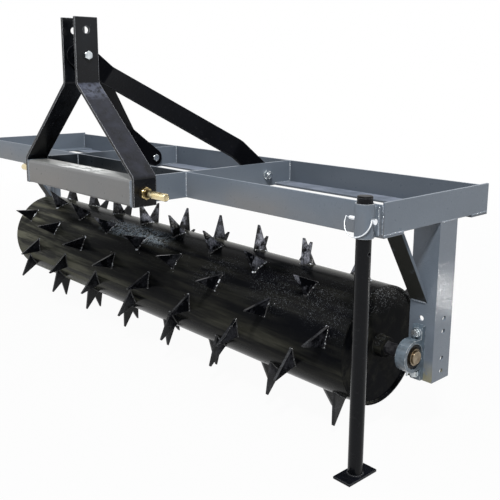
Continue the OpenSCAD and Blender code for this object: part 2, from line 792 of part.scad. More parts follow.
// Bar between the rail and the sleeve, hollowed to fit the sleeve
module stand_standoff() {
    hollow = 4;
    edge = 3;
    color(painted_frame) difference() {
        translate([stand_x - standoff_w / 2, front_y - standoff_t - hollow, tray_z + edge])
            cube([standoff_w, standoff_t + hollow, angle_leg - 2 * edge]);
        translate([stand_x, stand_y, sleeve_z - sleeve_l])
            cylinder(r = sleeve_r + seat, h = 3 * sleeve_l);
    }
}

module stand_leg() {
    color(gloss_black) difference() {
        translate([stand_x, stand_y, foot_plate_t])
            cylinder(r = leg_r, h = leg_top_z - foot_plate_t);
        translate([stand_x, stand_y, foot_plate_t - 1])
            cylinder(r = leg_r - leg_wall, h = leg_top_z - foot_plate_t + 2);
        for (k = [0, 1]) translate([stand_x, stand_y, lock_z - k * leg_hole_step])
            rod_x(pin_bore_r, 2 * leg_d);
    }
}

module stand_foot() {
    color(gloss_black) translate([stand_x - foot_plate_w / 2, stand_y - foot_plate_l / 2, 0])
        cube([foot_plate_w, foot_plate_l, foot_plate_t]);
}

// Plug in the leg's open top, with a low crown
module stand_cap() {
    crown = 4;
    plug = 12;
    color(gloss_black) translate([stand_x, stand_y, leg_top_z]) rotate_extrude() polygon([
        [0, -plug], [leg_r - leg_wall - seat, -plug], [leg_r - leg_wall - seat, 0], [leg_r, 0],
        [leg_r, crown * 0.6], [leg_r - crown / 2, crown], [0, crown]
    ]);
}

// Moves its children to the middle of the lock pin, with their X along it
module at_lock() { translate([stand_x, stand_y, lock_z]) children(); }

// Round pin through sleeve and leg, with a drilled head and a pointed end
module lock_pin() {
    point = lock_pin_d / 2;
    color(zinc) at_lock() difference() {
        union() {
            translate([lock_tip_x + point, 0, 0]) rotate([0, 90, 0])
                cylinder(d = lock_pin_d, h = lock_head_x - lock_tip_x - point);
            translate([lock_tip_x, 0, 0]) rotate([0, 90, 0])
                cylinder(d1 = lock_pin_d * 0.6, d2 = lock_pin_d, h = point);
            translate([lock_head_x, 0, 0]) rod_x(lock_head_r, lock_head_w);
        }
        translate([lock_head_x, 0, 0]) rotate([-bail_tilt, 0, 0])
            rod_y(wire_r + run_gap, 4 * lock_head_r);
    }
}

// Spring wire: a cross piece in the pin's head, two straight ends, a half circle round the
// sleeve's front, and an end bent across the pin's point. It is drawn hanging along -Z.
module lock_bail() {
    cross_l = bail_front + lock_head_r + 2 * wire_r;
    end_l = bail_front + lock_pin_d * 0.3;
    color(zinc) at_lock() rotate([-bail_tilt, 0, 0]) translate([0, -bail_front, 0]) {
        translate([lock_head_x, cross_l / 2, 0]) rod_y(wire_r, cross_l);
        translate([bail_end_x, end_l / 2, 0]) rod_y(wire_r, end_l);
        for (x = [lock_head_x, bail_end_x]) {
            translate([x, 0, 0]) sphere(r = wire_r);
            translate([x, 0, -bail_leg]) cylinder(r = wire_r, h = bail_leg);
        }
        translate([lock_head_x - bail_r, 0, -bail_leg]) rotate([-90, 0, 0])
            rotate_extrude(angle = 180) translate([bail_r, 0]) circle(r = wire_r);
    }
}

rear_rail();
left_end_rail();
right_end_rail();
front_rail_left();
front_rail_middle();
front_rail_right();
left_cross_member();
right_cross_member();
hitch_tube();
left_upright();
right_upright();
left_strut();
right_strut();
left_mast_strap();
right_mast_strap();
left_rear_brace();
right_rear_brace();
mast_spacer();
mast_bolt();
brace_bolts();
brace_nuts();
lock_washers();
left_hitch_pin();
right_hitch_pin();
hitch_pin_nuts();
left_bearing_housing();
right_bearing_housing();
left_outer_ring();
right_outer_ring();
left_balls();
right_balls();
left_inner_ring();
right_inner_ring();
bearing_bolts();
bearing_nuts();
bearing_washers();
drum_shell();
left_end_disc();
right_end_disc();
left_hub();
right_hub();
drum_shaft();
spikes_1();
spikes_2();
spikes_3();
spikes_4();
spikes_5();
spikes_6();
spikes_7();
spikes_8();
stand_sleeve();
stand_standoff();
stand_leg();
stand_foot();
stand_cap();
lock_pin();
lock_bail();
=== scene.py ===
"""Looks of a spike aerator: paint, plating, welds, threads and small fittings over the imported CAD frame.

X runs along the drum, Y backwards from the tractor, Z is up, all in metres.
"""
import math
from functools import cache, partial

import bpy
import numpy as np
from bpy.props import FloatProperty, FloatVectorProperty, IntProperty, PointerProperty
from mathutils import Matrix, Vector


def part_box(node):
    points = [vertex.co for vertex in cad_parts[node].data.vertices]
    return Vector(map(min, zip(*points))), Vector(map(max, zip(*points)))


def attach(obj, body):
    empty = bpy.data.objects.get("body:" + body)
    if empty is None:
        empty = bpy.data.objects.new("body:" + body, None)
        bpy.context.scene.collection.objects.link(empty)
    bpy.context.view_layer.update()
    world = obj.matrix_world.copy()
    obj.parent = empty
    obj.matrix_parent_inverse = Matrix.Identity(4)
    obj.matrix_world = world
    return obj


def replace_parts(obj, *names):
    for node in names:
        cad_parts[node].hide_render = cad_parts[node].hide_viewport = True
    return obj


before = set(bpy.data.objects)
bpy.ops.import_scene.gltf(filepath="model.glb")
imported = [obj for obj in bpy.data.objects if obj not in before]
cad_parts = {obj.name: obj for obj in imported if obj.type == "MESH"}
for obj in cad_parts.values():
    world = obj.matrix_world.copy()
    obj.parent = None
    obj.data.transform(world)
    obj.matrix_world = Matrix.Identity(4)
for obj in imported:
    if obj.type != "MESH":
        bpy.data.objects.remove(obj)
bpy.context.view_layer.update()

bl_info = {
    "name": "Spike Aerator Looks",
    "version": (1, 0, 0),
    "blender": (4, 5, 0),
    "location": "3D View > Sidebar > Aerator",
    "description": "Finishes, welds, threads and fittings for a spike aerator with a three point hitch",
    "category": "Object",
}

UP = np.array([0.0, 0.0, 1.0])
RIGHT = np.array([1.0, 0.0, 0.0])
BACK = np.array([0.0, 1.0, 0.0])
SIDES = (("left", -1), ("right", 1))


def span(node):
    """Lowest and highest corner of a CAD node as numpy arrays."""
    low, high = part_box(node)
    return np.array(low), np.array(high)


def middle(node):
    """Middle of a CAD node's box."""
    low, high = span(node)
    return (low + high) / 2


# Places that the CAD gives

TRAY_LOW, TRAY_HIGH = span("rear_rail")
FRONT_Y = span("front_rail_middle")[0][1]
TUBE_LOW, TUBE_HIGH = span("hitch_tube")
CROSS_X = span("right_cross_member")[1][0]
POST_LOW, POST_HIGH = span("right_upright")
AXLE = middle("drum_shaft")
SHELL = span("drum_shell")[1]
SHELL_R = SHELL[2] - AXLE[2]
DISC_X = span("right_end_disc")[1][0]
HUB_X = span("right_hub")[1][0]
HUB_R = span("right_hub")[1][2] - AXLE[2]
SHAFT_R = span("drum_shaft")[1][2] - AXLE[2]
BEARING = middle("right_outer_ring")
STAND = middle("stand_leg")

# Sizes that repeat those of the part's source

# The angle iron's legs and wall, and the flat bars' thickness
LEG, WALL, BAR = 0.0762, 0.00635, 0.0095
# How far the straps bend below the mast bolt
BEND_DROP = 0.084
# Diameters of the bolts and hitch pins, and the washers' thickness
MAST_BOLT, BEARING_BOLT, PIN, WASHER = 0.015875, 0.0127, 0.0222, 0.003
# Width across flats, head height and nut height as shares of a bolt's diameter
FLATS, HEAD, NUT = 1.5, 0.64, 0.87
# How far a bolt's thread starts inside the grip and ends beyond the nut
THREAD_MORE = 0.004
# Rings of spikes and spikes in a ring, the rings' pitch, the last one's distance from the shell's end,
# and the plates' thickness
RINGS, SPIKES, RING_PITCH, RING_MARGIN, SPIKE_T = 16, 5, 0.1116, 0.0605, 0.0095
# Angles that a spike's base reaches before and after its place
SPIKE_BEFORE, SPIKE_AFTER = 0.0577, 0.283
# A ninth of the angle between two spikes; each ring turns on by four of these from the ring before it
ROW_STEP = 2 * math.pi / SPIKES / 9
FIRST_PHASE, RING_TURN = 1.5 * math.pi - 29.5 * ROW_STEP, 4 * ROW_STEP
SPATTER_SEED = 11

# The camera's sensor in millimetres, and the photograph's width and fitted focal length in pixels

SENSOR, PICTURE, FOCAL = 36, 500, 713.978


# Sizes and colours in the panel

def panel_colour(label, text, value):
    """A colour that the user can change."""
    return FloatVectorProperty(
        name=label, description=text, subtype="COLOR", size=3, min=0, max=1, default=value)


def panel_length(label, text, low, high, value):
    """A length that the user can change."""
    return FloatProperty(
        name=label, description=text, subtype="DISTANCE", min=low, max=high, default=value)


def panel_angle(label, text, degrees):
    """An angle that the user can change, given in degrees."""
    return FloatProperty(name=label, description=text, subtype="ANGLE", default=math.radians(degrees))


class AERATOR_PG_paint(bpy.types.PropertyGroup):
    frame_colour: panel_colour(
        "Frame paint", "Colour of the tray frame and uprights", (0.170, 0.203, 0.248))
    tube_colour: panel_colour(
        "Hitch tube paint", "Colour of the hitch tube", (0.205, 0.207, 0.210))
    black_colour: panel_colour(
        "Black enamel", "Colour of mast, braces, drum and leg", (0.0032, 0.0036, 0.0050))
    housing_colour: panel_colour(
        "Housing paint", "Colour of the cast bearing housings", (0.125, 0.168, 0.210))
    # Dust on the drum, also used for its painted sheen and painted reflection of brown ground
    dust_and_sheen_colour: panel_colour(
        "Dust", "Colour of the dry dust on the drum", (0.150, 0.148, 0.112))
    edge_round: panel_length(
        "Edge round", "Radius of the rounded edges of bars and plates", 0.0002, 0.003, 0.0011)


class AERATOR_PG_weld(bpy.types.PropertyGroup):
    bead: panel_length("Bead", "Half width of a weld bead in the frame", 0.001, 0.008, 0.0042)
    ripple: panel_length("Ripple pitch", "Distance between the ripples of a bead", 0.001, 0.006, 0.0026)
    spatter: IntProperty(
        name="Spatter", description="Drops of weld spatter beside each spike", min=0, max=30, default=9)


class AERATOR_PG_thread(bpy.types.PropertyGroup):
    pitch: FloatProperty(
        name="Pitch", description="Thread pitch as a share of the bolt's diameter",
        min=0.08, max=0.25, default=0.147)
    depth: FloatProperty(
        name="Depth", description="Thread depth as a share of its pitch", min=0.3, max=0.7, default=0.55)


class AERATOR_PG_view(bpy.types.PropertyGroup):
    place: FloatVectorProperty(
        name="Camera", description="Place of the camera", subtype="XYZ", size=3,
        default=(1.98878, -1.40200, 0.94259))
    heading: panel_angle("Heading", "Turn of the view from +Y towards -X", 47.753)
    dip: panel_angle("Dip", "Angle of the view below the horizon", 11.303)
    roll: panel_angle("Roll", "Turn of the picture about the view's middle", 0.244)
    lens: FloatProperty(
        name="Lens", description="Focal length on a 36 mm wide picture, in millimetres",
        default=FOCAL / PICTURE * SENSOR)
    shift_x: FloatProperty(name="Shift X", description="Sideways shift of the lens", default=0.00844)
    shift_y: FloatProperty(name="Shift Y", description="Upward shift of the lens", default=-0.06902)


def looks():
    """The sizes and colours that the panel shows."""
    scene = bpy.context.scene
    return scene.aerator_paint, scene.aerator_weld, scene.aerator_thread


# Shader sums

class Wire:
    """A socket that can be added, multiplied and compared like a number."""

    def __init__(self, graph, socket):
        self.graph, self.socket = graph, socket

    def sum(self, operation, *values):
        """A Math node over these values."""
        return self.graph.node("Math", {"operation": operation}, dict(enumerate(values)))

    def __add__(self, other):
        return self.sum("ADD", self, other)

    def __sub__(self, other):
        return self.sum("SUBTRACT", self, other)

    def __rsub__(self, other):
        return self.sum("SUBTRACT", other, self)

    def __mul__(self, other):
        return self.sum("MULTIPLY", self, other)

    __radd__, __rmul__ = __add__, __mul__

    def __abs__(self):
        return self.sum("ABSOLUTE", self)

    def between(self, low, high, start=0.0, end=1.0):
        """start below low and end above high, with an even slope between."""
        return self.graph.node("MapRange", {"clamp": True}, {0: self, 1: low, 2: high, 3: start, 4: end})

    def below(self, low, high):
        """1 below low and 0 above high, with an even slope between."""
        return 1.0 - self.between(low, high)


class Graph:
    """A node tree in which node() makes a node from its type, settings and socket values."""

    def __init__(self, tree):
        self.tree = tree

    def node(self, kind, settings=None, inputs=None, output=0):
        made = self.tree.nodes.new("ShaderNode" + kind)
        for key, value in (settings or {}).items():
            setattr(made, key, value)
        for key, value in (inputs or {}).items():
            self.put(made.inputs[key], value)
        return Wire(self, made.outputs[output])

    def put(self, socket, value):
        """Links a wire to a socket, or sets the socket's own value."""
        if isinstance(value, Wire):
            self.tree.links.new(value.socket, socket)
        elif hasattr(value, "__len__") and len(value) == 3 and socket.type == "RGBA":
            socket.default_value = (*value, 1.0)
        else:
            socket.default_value = value

    def fill(self, name, **values):
        """Fills sockets of a node that the tree has from the start, and gives its first output."""
        known = self.tree.nodes[name]
        for key, value in values.items():
            self.put(known.inputs[key.replace("_", " ")], value)
        return Wire(self, known.outputs[0]) if known.outputs else None


class Finish(Graph):
    """One procedural material, whose tone is laid on in layers."""

    def __init__(self, name, specular=0.5, metallic=0.0, coat=0.0, coat_roughness=0.1):
        self.material = bpy.data.materials.new(name)
        self.material.use_nodes = True
        super().__init__(self.material.node_tree)
        self.fill("Principled BSDF", Specular_IOR_Level=specular, Metallic=metallic,
                  Coat_Weight=coat, Coat_Roughness=coat_roughness)
        self.place = self.node("TexCoord", output="Object")
        self.tone = None

    def stretched(self, x=1.0, y=1.0, z=1.0):
        """Object coordinates multiplied by a number along each axis."""
        return self.node("VectorMath", {"operation": "MULTIPLY"}, {0: self.place, 1: (x, y, z)})

    def noise(self, scale, detail=2.0, rough=0.5, place=None):
        return self.node("TexNoise", inputs={
            "Vector": place or self.place, "Scale": scale, "Detail": detail, "Roughness": rough})

    def grains(self, scale):
        """Distance to the nearest of many scattered points."""
        return self.node("TexVoronoi", inputs={"Vector": self.place, "Scale": scale})

    def facing(self, axis):
        """How far the surface faces along one of the object's own axes."""
        normal = self.node("TexCoord", output="Normal")
        return self.node("SeparateXYZ", inputs={0: normal}, output=axis)

    def along(self, axis):
        """Place along one of the object's own axes."""
        return self.node("SeparateXYZ", inputs={0: self.place}, output=axis)

    def near(self, axis, centre, reach):
        """1 at a distance along an axis, falling to 0 at that reach on both sides."""
        return abs(self.along(axis) - centre).below(reach * 0.4, reach)

    def edges(self, reach):
        """1 on sharp edges within that reach: there the rounded normal leaves the true one."""
        soft = self.node("Bevel", {"samples": 6}, {"Radius": reach})
        true = self.node("NewGeometry", output="Normal")
        match = self.node("VectorMath", {"operation": "DOT_PRODUCT"}, {0: soft, 1: true}, output="Value")
        return match.below(0.80, 0.97)

    def blend(self, share, first, second):
        return self.node("Mix", {"data_type": "RGBA"}, {0: share, 6: first, 7: second}, output=2)

    def over(self, share, colour):
        """Lays a share of a colour over the tone so far."""
        self.tone = self.blend(share, self.tone, colour)

    def bump(self, height, distance, strength):
        return self.node("Bump", inputs={"Height": height, "Distance": distance, "Strength": strength})

    def painted(self, **values):
        """Fills the tone and other sockets of the shader, and gives the material."""
        self.fill("Principled BSDF", Base_Color=self.tone, **values)
        return self.material


def shade(colour, factor):
    """A colour made darker or lighter."""
    return tuple(min(1.0, c * factor) for c in colour)


# Finishes

# Paler, bluer colour of upward faces: painted sky light
SKY_LIT_TOPS = (0.225, 0.262, 0.318)


def frame_paint(name, colour, tops, dull=0.24, peel=(270, 0.0011), specular=0.30):
    """Grey enamel: broad tone drift, fine mottle and orange peel; upward faces paler and bluer as
    painted sky light; faces that look down darkened brown as painted shade; a painted warm reflection
    of the ground low on the front rails; and dry mud at the feet of the uprights. The caller lays
    more over its tone."""
    f = Finish(name, specular)
    broad, mottle, up, height = f.noise(3.1, 3), f.noise(75, 4, 0.6), f.facing("Z"), f.along("Z")
    f.tone = f.blend(broad.between(0.3, 0.7), shade(colour, 0.92), shade(colour, 1.08))
    f.over(mottle.between(0.35, 0.75) * 0.25, shade(colour, 0.84))
    # Painted sky light: upward faces paler and bluer, as if lit from above
    pale = up.between(0.80, 0.98) * f.noise(14, 5, 0.6).between(0.20, 0.62)
    f.over(pale * 0.75, tops)
    # Painted shade: faces that look down darkened brown, as if in shade
    underside_shade = up.below(-0.50, -0.20) * f.noise(18, 4, 0.6).between(0.10, 0.42)
    f.over(underside_shade * 0.95, (0.030, 0.029, 0.023))
    front = (0.0 - f.facing("Y")).between(0.6, 0.9)
    # Painted reflection: warm ground colour low on the front faces of the front rails
    warm_reflection = front * height.between(TRAY_LOW[2] - 0.01, TRAY_LOW[2])
    warm_reflection = warm_reflection * height.below(TRAY_LOW[2] + 0.02, TRAY_HIGH[2])
    warm_reflection = warm_reflection * f.along("Y").below(FRONT_Y + 0.005, FRONT_Y + 0.01)
    f.over(warm_reflection * broad.between(0.35, 0.60) * 0.55, (0.225, 0.205, 0.185))
    mud = front * height.below(POST_LOW[2] + 0.010, POST_LOW[2] + 0.060)
    f.over(mud * f.noise(30, 4, 0.6).between(0.36, 0.50) * 0.8, (0.27, 0.25, 0.14))
    scuff = f.noise(9, 6, 0.7).between(0.58, 0.80)
    peel_scale, peel_height = peel
    f.fill("Principled BSDF", Roughness=scuff * 0.12 + mottle * 0.10 + dull + pale * 0.10,
           Normal=f.bump(f.noise(peel_scale, 1.5, 0.4), peel_height, 0.30))
    return f


def tray_paint(name, share=1.0, tops=SKY_LIT_TOPS, edge_highlight=0.0, **more):
    """The tray's grey times a share, with painted highlights on its sharp edges on request."""
    f = frame_paint(name, shade(looks()[0].frame_colour, share), tops, **more)
    # Painted highlight: pale lines on the sharp edges
    if edge_highlight:
        f.over(f.edges(0.0030) * edge_highlight, (0.70, 0.73, 0.76))
    return f.painted()


def pocket_paint(name):
    """The tray's grey, painted near-black as shade on the faces round the pocket behind the hitch tube."""
    f = frame_paint(name, looks()[0].frame_colour, SKY_LIT_TOPS)
    inner = CROSS_X - BAR
    inside = abs(f.along("X")).below(inner + 0.0005, inner + 0.0015)
    front = f.along("Y").below(FRONT_Y + 0.0005, FRONT_Y + 0.0015)
    # Painted shade: faces inside the pocket turned near-black, as if shaded
    f.over(inside * front * f.facing("Z").below(0.3, 0.6) * 0.92, (0.012, 0.016, 0.020))
    return f.painted()


def tube_paint(name):
    """The warmer grey of the hitch tube; its top faces paler as dust and painted sky light, with painted
    white glare in the middle of its top.
    """
    f = frame_paint(name, looks()[0].tube_colour, (0.36, 0.37, 0.355))
    # Painted glare: near-white patches on the middle of the top faces
    top_glare = f.noise(42, 4, 0.62, f.stretched(x=0.45, y=1.3)).between(0.46, 0.53) * f.near("X", 0.00, 0.17)
    f.over(top_glare * f.facing("Z").between(0.85, 0.98), (0.86, 0.87, 0.86))
    return f.painted()


def weld_paint(name):
    """Grey enamel on weld beads, glossier than the bars because it gathers there; a lighter tone and white
    sparks are painted highlights.
    """
    f = Finish(name, 0.6, coat=0.3, coat_roughness=0.08)
    colour = looks()[0].frame_colour
    # Painted highlights: a lighter tone and white sparks on the beads
    f.tone = f.blend(f.noise(90, 3).between(0.4, 0.7), shade(colour, 1.0), shade(colour, 1.6))
    spark = f.noise(520).between(0.56, 0.66)
    f.over(spark * 0.7, (0.66, 0.69, 0.72))
    return f.painted(Roughness=spark * 0.1 + 0.14, Normal=f.bump(f.noise(400), 0.0004, 0.4))


def black_enamel(name, gloss, haze_and_sky_reflection, specular, peel=0.0009, edge_highlight=0.0, crest=None):
    """Gloss black enamel: a faint bluish cast, a painted bluish sky reflection on upward faces, fine
    scratches, orange peel and painted highlights on the sharp edges. crest is the height of a bend
    below which a painted bluish reflection lies on the slope."""
    f = Finish(name, specular)
    cloud, up = f.noise(6.5, 4, 0.6), f.facing("Z")
    f.tone = f.blend(cloud.between(0.40, 0.78) * haze_and_sky_reflection, looks()[0].black_colour, (0.012, 0.014, 0.018))
    # Painted sky reflection: bluish tint on faces that look up
    f.over(up.between(0.25, 0.60) * f.noise(24, 4, 0.62).between(0.30, 0.66) * haze_and_sky_reflection, (0.028, 0.031, 0.048))
    if crest:
        # Painted reflection: bluish band on the slope just below the bend
        slope = up.between(0.25, 0.45) * f.near("Z", crest - 0.018, 0.030)
        f.over(slope * f.noise(60, 3, 0.6).between(0.36, 0.56) * 0.55, (0.16, 0.18, 0.25))
    hair = f.noise(120, 3, 0.7, f.stretched(x=0.12)).between(0.60, 0.72)
    f.over(hair * 0.14, (0.06, 0.06, 0.065))
    # Painted highlight: pale lines on the sharp edges
    f.over(f.edges(0.0034) * edge_highlight, (0.52, 0.54, 0.58))
    return f.painted(Roughness=cloud * 0.14 + hair * 0.12 + gloss * 0.8,
                     Normal=f.bump(f.noise(230), peel, 0.28))


def drum_enamel(name):
    """Black enamel: olive dust in long streaks, most low on the drum and at its left end, which also
    stands in for a painted reflection of brown ground; dust and a painted sheen on the rear of its top;
    painted glints in a patch high on the right and high on the end discs; and a painted bluish sky
    reflection with glints in a band high up near the middle."""
    paint = looks()[0]
    f = Finish(name, 0.018)
    long = f.stretched(x=0.16)
    fine = f.noise(40, 4, 0.6, f.stretched(x=0.07))
    up, x = f.facing("Z"), f.along("X")
    flank = abs(f.facing("X")).between(0.7, 0.9)
    # Olive dust in long streaks, which also stands in for a painted reflection of brown ground
    veil = f.noise(10, 5, 0.62, long).between(0.38, 0.58) * (fine.between(0.42, 0.60) * 0.80 + 0.15)
    veil = veil * (up.below(-0.15, 0.30) * 0.66 + 0.34 + x.below(-0.80, -0.20) * 0.5)
    veil = veil * (x.below(-0.80, 0.2) * 1.10 + 0.34) * (1.0 - flank * 0.3)
    f.tone = f.blend(veil, paint.black_colour, paint.dust_and_sheen_colour)
    # Dust and painted sheen: a band on the rear of the top, standing in for the grazing reflection along the
    # drum's upper edge
    rear = f.facing("Y").between(-0.04, 0.20) * up.between(0.30, 0.80)
    f.over(rear * fine.between(0.30, 0.60) * 0.7, shade(paint.dust_and_sheen_colour, 0.6))
    # Painted glints: bright specks in a patch high on the right, with a little bump
    right = f.noise(5.2, 3).between(0.44, 0.60) * (f.near("X", 0.62, 0.75) * 0.85 + 0.15)
    right = right * up.between(0.05, 0.5)
    # Painted sky reflection: a bluish band high up near the middle
    left = f.near("X", -0.12, 0.22) * up.between(0.74, 0.86) * up.below(0.93, 0.98) * (1.0 - rear)
    # Painted glints: white specks on the upper end discs and on the bluish band
    rim = flank * (f.along("Z") - AXLE[2]).between(SHELL_R * 0.50, SHELL_R * 0.9) * 0.5
    grit_glints = f.grains(400).below(0.10, 0.30) * f.noise(140, 2, 0.6).between(0.42, 0.60) * right
    glitter = f.grains(230).below(0.22, 0.40) * f.noise(90, 2, 0.6).between(0.40, 0.50) * (left + rim)
    f.over(left * f.noise(75, 3, 0.6).between(0.40, 0.60) * 0.85, (0.38, 0.47, 0.55))
    f.over(grit_glints * 0.8, (0.40, 0.43, 0.48))
    f.over(glitter, (0.90, 0.94, 0.97))
    height = f.noise(34, 3, place=long) * 0.5 + f.noise(260) * 0.25 + grit_glints * 0.6
    return f.painted(Roughness=veil * 0.38 + 0.17 + grit_glints * 0.2, Normal=f.bump(height, 0.0010, 0.34))


def spike_enamel(name):
    """Black enamel on the spikes: painted bluish sky reflections in soft patches on the plates, most on
    those high up and to the right, and painted highlights on the sharp edges."""
    f = Finish(name, 0.22)
    cloud = f.noise(24, 3, 0.6)
    high = (f.along("Z") - AXLE[2]).between(SHELL_R * 0.85, SHELL_R * 1.1)
    # Painted sky reflection: soft bluish patches away from the edges
    patch = (1.0 - f.edges(0.011)) * cloud.between(0.46, 0.56)
    patch = patch * (f.noise(150).between(0.35, 0.65) * 0.7 + 0.3)
    patch = patch * (f.along("X").between(-0.45, -0.10) * 0.75 + 0.25)
    f.tone = f.blend(patch * (high * 0.90 + 0.06), looks()[0].black_colour, (0.56, 0.58, 0.68))
    # Painted highlight: pale specks along the sharp edges
    f.over(f.edges(0.0012) * f.noise(60).between(0.46, 0.58) * 0.5, (0.20, 0.20, 0.23))
    return f.painted(Roughness=cloud * 0.20 + 0.08, Normal=f.bump(f.noise(95, 3), 0.0012, 0.4))


def spike_weld_enamel(name):
    """Black enamel on the welds of the spikes, with painted glints: bright specks that grow denser towards
    the top.
    """
    f = Finish(name, 0.4)
    high = (f.along("Z") - AXLE[2]).between(-SHELL_R * 0.1, SHELL_R * 0.6)
    # Painted glints: white specks, denser high on the drum
    spark = f.noise(120).between(0.52, 0.58) * f.noise(37).between(0.45, 0.51)
    f.tone = f.blend(spark * (high * 0.8 + 0.12), looks()[0].black_colour, (0.80, 0.84, 0.90))
    return f.painted(Roughness=spark * 0.2 + 0.12, Normal=f.bump(f.noise(400), 0.0004, 0.4))


def plating(name, bright, deep, rough, pin_bands=False):
    """Zinc plating: metal whose tint and gloss wander in small spangles. On request the hitch pins get
    painted shade in a dark band beside their collars, and a pale band towards their tips."""
    f = Finish(name, metallic=1.0)
    cloud = f.noise(95, 3, 0.6)
    f.tone = f.blend(cloud.between(0.35, 0.70), bright, deep)
    f.over(f.grains(310).between(0.2, 0.8) * 0.25, shade(bright, 0.78))
    if pin_bands:
        # Painted shade: a dark band beside the collar; a pale band further out
        out = abs(f.along("X")) - CROSS_X - BAR
        f.over(out.between(0.025, 0.032) * cloud.between(0.38, 0.50) * 0.6, (0.88, 0.78, 0.52))
        f.over(out.between(0.0094, 0.0100) * out.below(0.021, 0.027) * 0.95, (0.040, 0.028, 0.012))
    return f.painted(Roughness=cloud * 0.20 + rough * 0.75, Normal=f.bump(f.noise(900), 0.0003, 0.35))


def cast_paint(name):
    """Blue-grey enamel over sand casting: lumpy grain, dark dirt in the hollows and painted highlights on
    the sharp edges.
    """
    colour = looks()[0].housing_colour
    f = Finish(name, 0.4, coat=0.3, coat_roughness=0.08)
    grain, lump = f.noise(420, 4, 0.65), f.noise(70, 3)
    f.tone = f.blend(lump.between(0.3, 0.7), shade(colour, 0.62), shade(colour, 1.10))
    f.over(grain.between(0.60, 0.78) * 0.50, (0.05, 0.055, 0.06))
    # Painted highlight: pale lines on the sharp edges
    f.over(f.edges(0.0045) * f.noise(75).between(0.46, 0.56) * 0.5, (0.90, 0.94, 0.98))
    return f.painted(Roughness=grain * 0.20 + 0.14,
                     Normal=f.bump(lump * 0.7 + grain * 0.4, 0.0012, 0.5))


def bare_steel(name):
    """Turned steel with rings across the shaft, brown tarnish and a little rust, painted black between
    the bearings."""
    f = Finish(name)
    rings = f.noise(1500, place=f.stretched(y=0.04, z=0.04))
    tarnish = f.noise(42, 5, 0.65)
    f.tone = f.blend(tarnish.between(0.38, 0.62), (0.30, 0.25, 0.18), (0.13, 0.095, 0.060))
    rust = f.noise(150, 5, 0.7).between(0.60, 0.68)
    f.over(rust * 0.6, (0.14, 0.075, 0.04))
    painted = f.near("X", 0.0, BEARING[0] - 0.012).between(0.0, 0.02)
    cloud = f.noise(60, 4, 0.6).between(0.42, 0.66)
    f.over(painted, f.blend(cloud, (0.006, 0.006, 0.008), (0.05, 0.05, 0.055)))
    return f.painted(Roughness=tarnish * 0.28 + rings * 0.12 + 0.14 + rust * 0.3,
                     Metallic=(1.0 - rust * 0.7) * (1.0 - painted), Normal=f.bump(rings, 0.00025, 0.4))


def plug_plastic(name):
    """Black moulded plastic with a fine spark-eroded grain."""
    f = Finish(name, 0.10)
    grain = f.noise(1400, 3, 0.6)
    f.tone = f.blend(f.noise(60, 3).between(0.4, 0.7), (0.004, 0.004, 0.005), (0.009, 0.009, 0.010))
    return f.painted(Roughness=grain * 0.2 + 0.30, Normal=f.bump(grain, 0.0003, 0.4))


def seal_rubber(name):
    """Black rubber of the bearing seals."""
    f = Finish(name, 0.3)
    grain = f.noise(600, 3, 0.6)
    f.tone = f.blend(grain, (0.010, 0.010, 0.010), (0.03, 0.029, 0.028))
    return f.painted(Roughness=grain * 0.2 + 0.5, Normal=f.bump(grain, 0.0002, 0.4))


MAKERS = {
    "frame_paint": tray_paint,
    # Rear rail: a darker copy of the grey as painted shade, and paler bluish tops as painted sky light
    "back_paint": partial(tray_paint, share=0.62, tops=(0.36, 0.40, 0.50)),
    # Sleeve: painted highlights on its sharp edges
    "sleeve_paint": partial(tray_paint, share=0.98, edge_highlight=0.8),
    "post_paint": partial(tray_paint, dull=0.02, peel=(260, 0.0019), specular=0.42),
    # Struts: duller paint, and a darker copy of the grey as painted shade
    "strut_paint": partial(tray_paint, share=0.9, dull=0.45, specular=0.06),
    "pocket_paint": pocket_paint,
    "tube_paint": tube_paint,
    "weld_paint": weld_paint,
    "housing_paint": cast_paint,
    "strap_enamel": partial(black_enamel, gloss=0.18, haze_and_sky_reflection=0.8, specular=0.24, edge_highlight=1.0,
                            crest=middle("mast_bolt")[2] - BEND_DROP),
    "brace_enamel": partial(black_enamel, gloss=0.36, haze_and_sky_reflection=0.1, specular=0.012, edge_highlight=0.15),
    "leg_enamel": partial(black_enamel, gloss=0.16, haze_and_sky_reflection=0.2, specular=0.14, peel=0.0006, edge_highlight=0.2),
    "drum_enamel": drum_enamel,
    "spike_enamel": spike_enamel,
    "spike_weld_enamel": spike_weld_enamel,
    "zinc": partial(plating, bright=(0.74, 0.78, 0.80), deep=(0.40, 0.44, 0.47), rough=0.22),
    "bright_zinc": partial(plating, bright=(0.88, 0.90, 0.93), deep=(0.70, 0.74, 0.78), rough=0.40),
    "yellow_zinc": partial(plating, bright=(0.74, 0.60, 0.32), deep=(0.40, 0.29, 0.13), rough=0.20,
                           pin_bands=True),
    "bare_steel": bare_steel,
    "plug_plastic": plug_plastic,
    "seal_rubber": seal_rubber,
}


@cache
def finish(name):
    """Makes each finish once."""
    return MAKERS[name](name)


# Surfaces

def unit(v):
    """Vectors divided by their lengths."""
    v = np.asarray(v, float)
    return v / np.linalg.norm(v, axis=-1, keepdims=True)


def turns(count):
    """Angles evenly round a circle."""
    return np.arange(count) * 2 * math.pi / count


def spokes(axis, angle):
    """Unit vectors square to an axis, at these angles about it."""
    axis = unit(axis)
    hint = UP if abs(axis[2]) < 0.9 else BACK
    side = unit(np.cross(hint, axis))
    return np.cos(angle)[:, None] * side + np.sin(angle)[:, None] * np.cross(axis, side)


